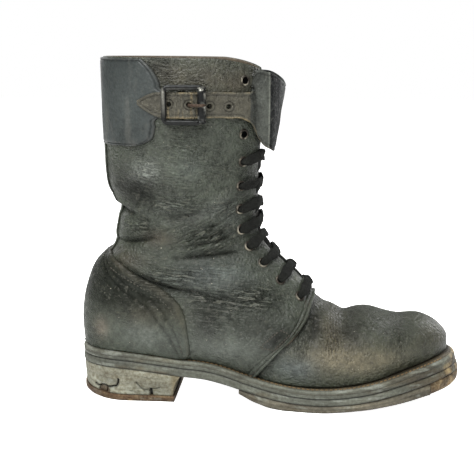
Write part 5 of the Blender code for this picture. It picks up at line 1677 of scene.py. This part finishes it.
@dataclass
class Lacing:
    """Eyelets, the tongue behind them and the flat lace that crosses from eyelet to eyelet."""

    first_laced: int = 3
    bore: float = 2.6
    flange: float = 4.3
    width: float = 7.8
    thick: float = 2.3
    tongue_thick: float = 2.0
    tongue_rows: Places = ((8.8, 13.0), (12.0, 19.0), (20.0, 25.0), (34.0, 28.0))
    # Sway and level of the bars, from the top
    ways: Places = (
        (0.5, 0.6), (-0.3, 1), (0.4, 0.9), (-0.3, 0.4), (0.16, 0.2), (-0.1, 0), (0.14, 0), (0.08, 0),
    )

    def eyelets(self, finishes: Finishes) -> None:
        """Build the eyelets of each side as turned rings, with a black disc in each hole as painted shade."""
        profile = np.array([(self.bore, -2.4), (self.bore, 0.4), (2.8, 0.8), (3.2, 1.0), (3.7, 0.85),
                            (4.1, 0.45), (self.flange, 0.0), (3.2, -0.3), (3.0, -2.4)])
        angle = np.linspace(0, 2 * math.pi, 30)
        for label, side in (("lateral", -1.0), ("medial", 1.0)):
            mesh = Mesh(f"eyelets_{label}")
            for number, (x, z) in enumerate(EYELETS):
                point, forward, upward, outward = place_on_upper(x, z, side)
                spoke = np.cos(angle)[:, None] * forward + np.sin(angle)[:, None] * upward
                rings = point + profile[None, :, :1] * spoke[:, None] + profile[None, :, 1:] * outward
                share = ease(NOISE.at(rings + 70 * number, 3, 2), 0.42, 0.62)[..., None]
                # The rims are paled on their lower left as a painted highlight.
                lower_left_highlight = (0.5 - 0.5 * np.cos(angle - math.radians(45.0)))[:, None, None]
                lip = np.array([0.0, 0.3, 1.0, 1.0, 0.45, 0.15, 0.0, 0.0, 0.0])[None, :, None]
                share = unit(share * lower_left_highlight ** 3 * lip * 1.5)
                tone = blend(srgb(40, 36, 30), srgb(158, 154, 140), share)
                mesh.grid(rings, tone, wrap=True)
                # A black disc sits in each hole as painted shade.
                reach = np.array([0.05, self.bore + 0.2, self.bore + 0.2, 0.05])[None, :, None]
                level = np.array([0.4, 0.4, 0.2, 0.2])[None, :, None]
                disc = point + reach * spoke[:, None] + level * outward
                mesh.grid(disc, (0.004, 0.004, 0.004), wrap=True, slot=1)
            item = mesh.build([finishes.brass, finishes.dark])
            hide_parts(*(f"eyelet_{label}_{number:02d}" for number in range(1, len(EYELETS) + 1)))

    def tongue(self, finishes: Finishes) -> None:
        """Build the tongue: a soft sheet inside the throat that swells between the quarters."""
        u = np.linspace(8.8, 33.6, 120)
        share = np.linspace(-1, 1, 61)
        half = LAST.section(u)[4]
        gap = LAST.section(u)[8]
        table = np.array(self.tongue_rows).T
        reach = np.arcsin(np.clip(np.interp(u, *table) / half, 0.0, 0.9))
        turn = np.abs(share)[None, :] * reach[:, None]
        side = np.broadcast_to(np.where(share < 0, -1.0, 1.0)[None, :], turn.shape)
        across = half[:, None] * np.sin(turn)
        swell = 1.6 * unit(1 - (across / np.maximum(gap, 0.5)[:, None]) ** 2)
        base = LAST.skin(np.broadcast_to(u[:, None], turn.shape), turn, side)
        under_vamp = 1.6 * (1 - ease(u, 10, 10.6))[:, None]
        rough = 1.4 * (NOISE.at(base + 33, 14, 3) - 0.5)
        lift = swell - 2.7 - under_vamp + rough * ease(across, 0, 3)
        normal = LAST.normal(np.broadcast_to(u[:, None], turn.shape), turn, side)
        points = base + normal * lift[..., None]
        points[..., 2] -= LAST.collar_drop(u[:, None], turn)
        tone = np.array(srgb(62, 62, 57)) * (0.6 + 0.8 * NOISE.at(base + 5, 16, 4)[..., None])
        sheet = Mesh("soft_tongue").grid(points, tone).build([finishes.hide, finishes.lining])
        item = thicken(sheet, self.tongue_thick, 1)
        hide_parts("tongue")

    @staticmethod
    def run(sections: Array, turns: Array, sides: Array, lifts: Array, count: int) -> Pair:
        """Return a smooth path over the last and the outward direction along it."""
        points = LAST.leather(sections, turns, sides, lifts)
        outs = LAST.normal(sections, turns, sides)
        way = way_along(points)
        at = np.linspace(0, way[-1], count)
        out = np.stack([np.interp(at, way, column) for column in outs.T], axis=-1)
        return smooth_line(points, count), directions(out)

    def bar(self, place: Point2, sway: float, level: float) -> Pair:
        """Return the run over the throat, out of one eyelet and into the eyelet across from it.

        Args:
            place: the eyelet in the side view.
            sway: how far the run bows up or down on its way, in sections.
            level: 0 to follow the section, 1 to run level.

        Returns:
            The path and the outward direction along it.
        """
        u, turn = LAST.locate(*place)
        edge, _ = LAST.turn_range(u)
        half_turns = np.array([turn, turn, 0.93 * turn + 0.07 * edge, 0.5 * turn + 0.5 * edge, edge,
                               0.5 * edge])
        half_lifts = np.array([-2.4, 0.6, 3.0, 3.4, 3.2, 1.8])
        turns = np.concatenate([half_turns, [0.0], half_turns[::-1]])
        lifts = np.concatenate([half_lifts, [1.6], half_lifts[::-1]])
        sides = np.concatenate([np.full(6, -1.0), np.full(7, 1.0)])
        rows = np.linspace(LAST.seam_row + 0.5, LAST.cuff_row, 200)
        ridge = np.interp(place[1] + 1, LAST.section(rows)[1], rows)
        sections = u + level * (ridge - u) * (1 - turns / turn)
        sections += sway * np.concatenate([np.zeros(3), [0.4, 0.8, 1.0, 0.6, -0.2, -0.5, -0.3], np.zeros(3)])
        return self.run(sections, turns, sides, lifts, 130)

    def slant(self, start: Point2, end: Point2, side: float) -> Pair:
        """Return the run under the quarters from one eyelet up to the next one across."""
        u, turn = LAST.locate(*np.array([start, end]).T)
        edge, _ = LAST.turn_range(u)
        sections = u[0] + (u[1] - u[0]) * np.array([0.0, 0.25, 0.5, 0.75, 1.0])
        turns = np.array([turn[0], edge[0], 0.0, edge[1], turn[1]])
        sides = np.array([side, side, side, -side, -side])
        return self.run(sections, turns, sides, np.array([-1.8, -1.6, 0.4, -1.6, -1.8]), 50)

    def lace(self, finishes: Finishes) -> None:
        """Build the lace: bars over the throat at each row and slanted runs under them."""
        rows = EYELETS[self.first_laced:]
        mesh = Mesh("boot_lace")
        colour = np.array(srgb(24, 25, 22))
        for number, place in enumerate(rows):
            path, out = self.bar(place, *self.ways[number])
            way = np.linspace(0, 1, len(path))
            squeeze = ease(np.minimum(way, 1 - way), 0.02, 0.14)
            ruffle = NOISE.at(path + 40 * number, 6, 2)
            width = (4 + (self.width - 4) * squeeze) * (0.6 + 0.8 * ruffle)
            out = out + 1.3 * (NOISE.at(path + 99, 10, 1) - 0.5)[:, None] * np.array([0.3, 0.0, 1.0])
            rings = sweep(path, out, width, self.thick * (1.9 - 0.7 * squeeze) * (1.4 - 0.8 * ruffle), 16)
            rings += (NOISE.at(rings, 2.6, 3) - 0.5)[..., None] * out[:, None]
            mesh.grid(rings, colour * (0.5 + NOISE.at(rings, 4, 3)[..., None]), wrap=True, cap=True)
        for upper, lower in zip(rows, rows[1:]):
            for side in (-1.0, 1.0):
                path, out = self.slant(lower, upper, side)
                rings = sweep(path, out, self.width * 0.8, 1.2, 10)
                tone = colour * (0.4 + 0.8 * NOISE.at(rings, 4, 3)[..., None])
                mesh.grid(rings, tone, wrap=True, cap=True)
        item = mesh.build([finishes.cotton], closed=True)
        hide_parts("lace")

    def build(self, finishes: Finishes) -> None:
        """Build eyelets, tongue and lace."""
        self.eyelets(finishes)
        self.tongue(finishes)
        self.lace(finishes)


@dataclass
class Stitching:
    """Threads sewn along the edges: each stitch is a small tapered capsule along a line on the leather."""

    radius: float = 0.5
    welt_line: float = 4.7

    def line(self, mesh: Mesh, path: Array, out: Array, pitch: float, length: float, tone: Colour) -> None:
        """Sew one line of stitches.

        Args:
            mesh: the piece that collects the stitches.
            path, out: points of the line and the outward direction at each.
            pitch, length: distance from stitch to stitch and length of one.
            tone: colour of the thread.
        """
        way = way_along(path)
        middle = np.arange(pitch / 2, way[-1] - pitch / 2, pitch)
        offset = np.linspace(-0.5, 0.5, 5) * length
        size = self.radius * np.array([0.35, 0.9, 1.0, 0.9, 0.35])
        sink = self.radius * np.array([-0.9, -0.1, 0.2, -0.1, -0.9])
        for centre in middle:
            at = centre + offset
            points = np.stack([np.interp(at, way, column) for column in path.T], axis=-1)
            lift = np.stack([np.interp(at, way, column) for column in out.T], axis=-1)
            rings = sweep(points + lift * sink[:, None], lift, 2 * size, 2 * size, 6)
            mesh.grid(rings, tone, wrap=True, cap=True)

    def on_upper(self, mesh: Mesh, places: Sequence[Point2], side: float, lift: float, pitch: float,
                 tone: Colour) -> None:
        """Sew along a given line of the side view."""
        line = smooth_line(places, 160)
        u, turn = LAST.locate(line[:, 0], line[:, 1])
        rise = lift + hide_heights(LAST.leather(u, turn, side))
        path = LAST.leather(u, turn, side, rise)
        self.line(mesh, path, LAST.normal(u, turn, side), pitch, pitch * 0.72, tone)

    def build(self, finishes: Finishes) -> None:
        """Sew the welt and the seams of vamp and quarters."""
        mesh = Mesh("stitches")
        welt_thread = srgb(112, 90, 58)
        seam_thread = srgb(58, 54, 46)
        x = np.linspace(12, 300, 420)
        for sign in (-1.0, 1.0):
            moved, low, high = LAST.outline(x, self.welt_line)
            y = low if sign < 0 else high
            path = worn_toe(np.stack([moved, y, LAST.welt_top(moved) - 0.1], axis=-1), self.welt_line)
            upright = np.broadcast_to(np.array([0.0, 0.0, 1.0]), path.shape)
            self.line(mesh, path, upright, 3.6, 2.9, welt_thread)
        seam = ((187.5, 84.0), (185.2, 71.5), (177.5, 60.0), (164.0, 48.8), (147.5, 28.5))
        for shift in (-2.6, -5.6):
            for side in (-1.0, 1.0):
                places = tuple((px + shift, pz + 0.3 * shift) for px, pz in seam)
                self.on_upper(mesh, places, side, LAST.quarter_step + 0.1, 2.6, seam_thread)
        corners = ((163.0, 63.2), (170.4, 59.6), (158.0, 48.0), (147.5, 49.8))
        counter_line = (
            (30, 107), (50, 96), (66, 87.6), (75.5, 80), (81.6, 71), (84.8, 60), (86.4, 40.8),
        )
        for side in (-1.0, 1.0):
            for start, end in zip(corners, corners[1:] + corners[:1]):
                self.on_upper(mesh, (start, end), side, LAST.quarter_step + 0.1, 2.4, seam_thread)
            self.on_upper(mesh, counter_line, side, LAST.quarter_step + 2, 3.0, seam_thread)
        item = mesh.build([finishes.thread], closed=True)


@dataclass
class Studio:
    """Floor, light and camera."""

    camera_place: Point3 = (0.0349, -0.7975, 0.285)
    camera_turn: Point3 = (78.885, 0.0, 4.475)
    lens: float = 77.04
    floor_size: float = 8.0
    floor_glow: float = 0.96
    floor_bounce: float = 0.1
    world_strength: float = 0.12
    lamp_target: Point3 = (0.0, 0.0, 0.12)
    # Name, place in metres, size and power of each lamp
    lamps: tuple = (
        ("key", (-0.5, -1.4, 1.15), 0.7, 34.0), ("glint", (-0.7, -0.7, 1.3), 0.3, 12.0),
        ("top", (0.1, -0.4, 1.7), 1.0, 26.0), ("fill", (1.3, -1.1, 0.6), 0.9, 7.0),
        ("back_left", (-0.8, 1.3, 0.7), 1.0, 8.0), ("back_right", (1.1, 1.2, 0.7), 1.0, 16.0),
    )

    def floor(self) -> None:
        """Lay a pale floor with a fine mottling."""
        half = self.floor_size / 2
        mesh = bpy.data.meshes.new("floor")
        corners = [(-half, -half, 0.0), (half, -half, 0.0), (half, half, 0.0), (-half, half, 0.0)]
        mesh.from_pydata(corners, [], [(0, 1, 2, 3)])
        item = bpy.data.objects.new("floor", mesh)
        bpy.context.scene.collection.objects.link(item)
        material = PlainFinish("pale_floor", srgb(244, 244, 243), srgb(240, 240, 239), 40.0, (0.7, 0.8),
                               depth=0.02).make()
        nodes = Nodes(material.node_tree)
        seen = nodes.node("LightPath", {}, "Is Camera Ray")
        glow = nodes.node("MapRange", {0: seen, 3: self.floor_bounce, 4: self.floor_glow})
        surface = nodes.tree.nodes["Principled BSDF"]
        nodes.feed(surface.inputs["Emission Color"], WHITE)
        nodes.feed(surface.inputs["Emission Strength"], glow)
        mesh.materials.append(material)

    def light(self, name: str, place: Point3, size: float, power: float) -> None:
        """Add one soft square lamp aimed at the boot."""
        lamp = bpy.data.lights.new(name, "AREA")
        lamp.size = size
        lamp.energy = power
        item = bpy.data.objects.new(name, lamp)
        bpy.context.scene.collection.objects.link(item)
        way = np.array(self.lamp_target) - np.array(place)
        yaw = math.atan2(way[0], -way[1])
        pitch = math.atan2(math.hypot(way[0], way[1]), -way[2])
        item.location = place
        item.rotation_euler = (pitch, 0.0, yaw + math.pi)

    def build(self) -> None:
        """Set up floor, world, lamps and camera."""
        self.floor()
        world = bpy.data.worlds.new("studio")
        world.use_nodes = True
        nodes = Nodes(world.node_tree)
        sky = nodes.tree.nodes["Background"]
        nodes.feed(sky.inputs[0], WHITE)
        nodes.feed(sky.inputs[1], self.world_strength)
        seen = nodes.node("LightPath", {}, "Is Camera Ray")
        backdrop = nodes.node("Background", {0: WHITE})
        both = nodes.node("MixShader", {0: seen, 1: sky.outputs[0], 2: backdrop})
        nodes.feed(nodes.tree.nodes["World Output"].inputs[0], both)
        scene = bpy.context.scene
        scene.world = world
        for lamp in self.lamps:
            self.light(*lamp)
        scene.view_settings.view_transform = "Standard"
        camera = bpy.data.cameras.new("camera")
        camera.lens = self.lens
        camera.sensor_width = 36.0
        item = bpy.data.objects.new("camera", camera)
        scene.collection.objects.link(item)
        item.location = self.camera_place
        item.rotation_euler = tuple(math.radians(angle) for angle in self.camera_turn)
        scene.camera = item


def main() -> None:
    """Load the frame, build every sub-assembly and note the size of the result."""
    logging.basicConfig(level=logging.INFO, format="%(name)s %(message)s")
    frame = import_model()
    Studio().build()
    finishes = Finishes()
    for assembly in (Upper(), HeelCounter(), Cuff(), Strap(), Buckle(), Lacing(), Sole(), Stitching()):
        assembly.build(finishes)
    insole = frame["nodes"]["insole"].data
    insole.materials.clear()
    insole.materials.append(finishes.insole)


if __name__ == "__main__":
    main()
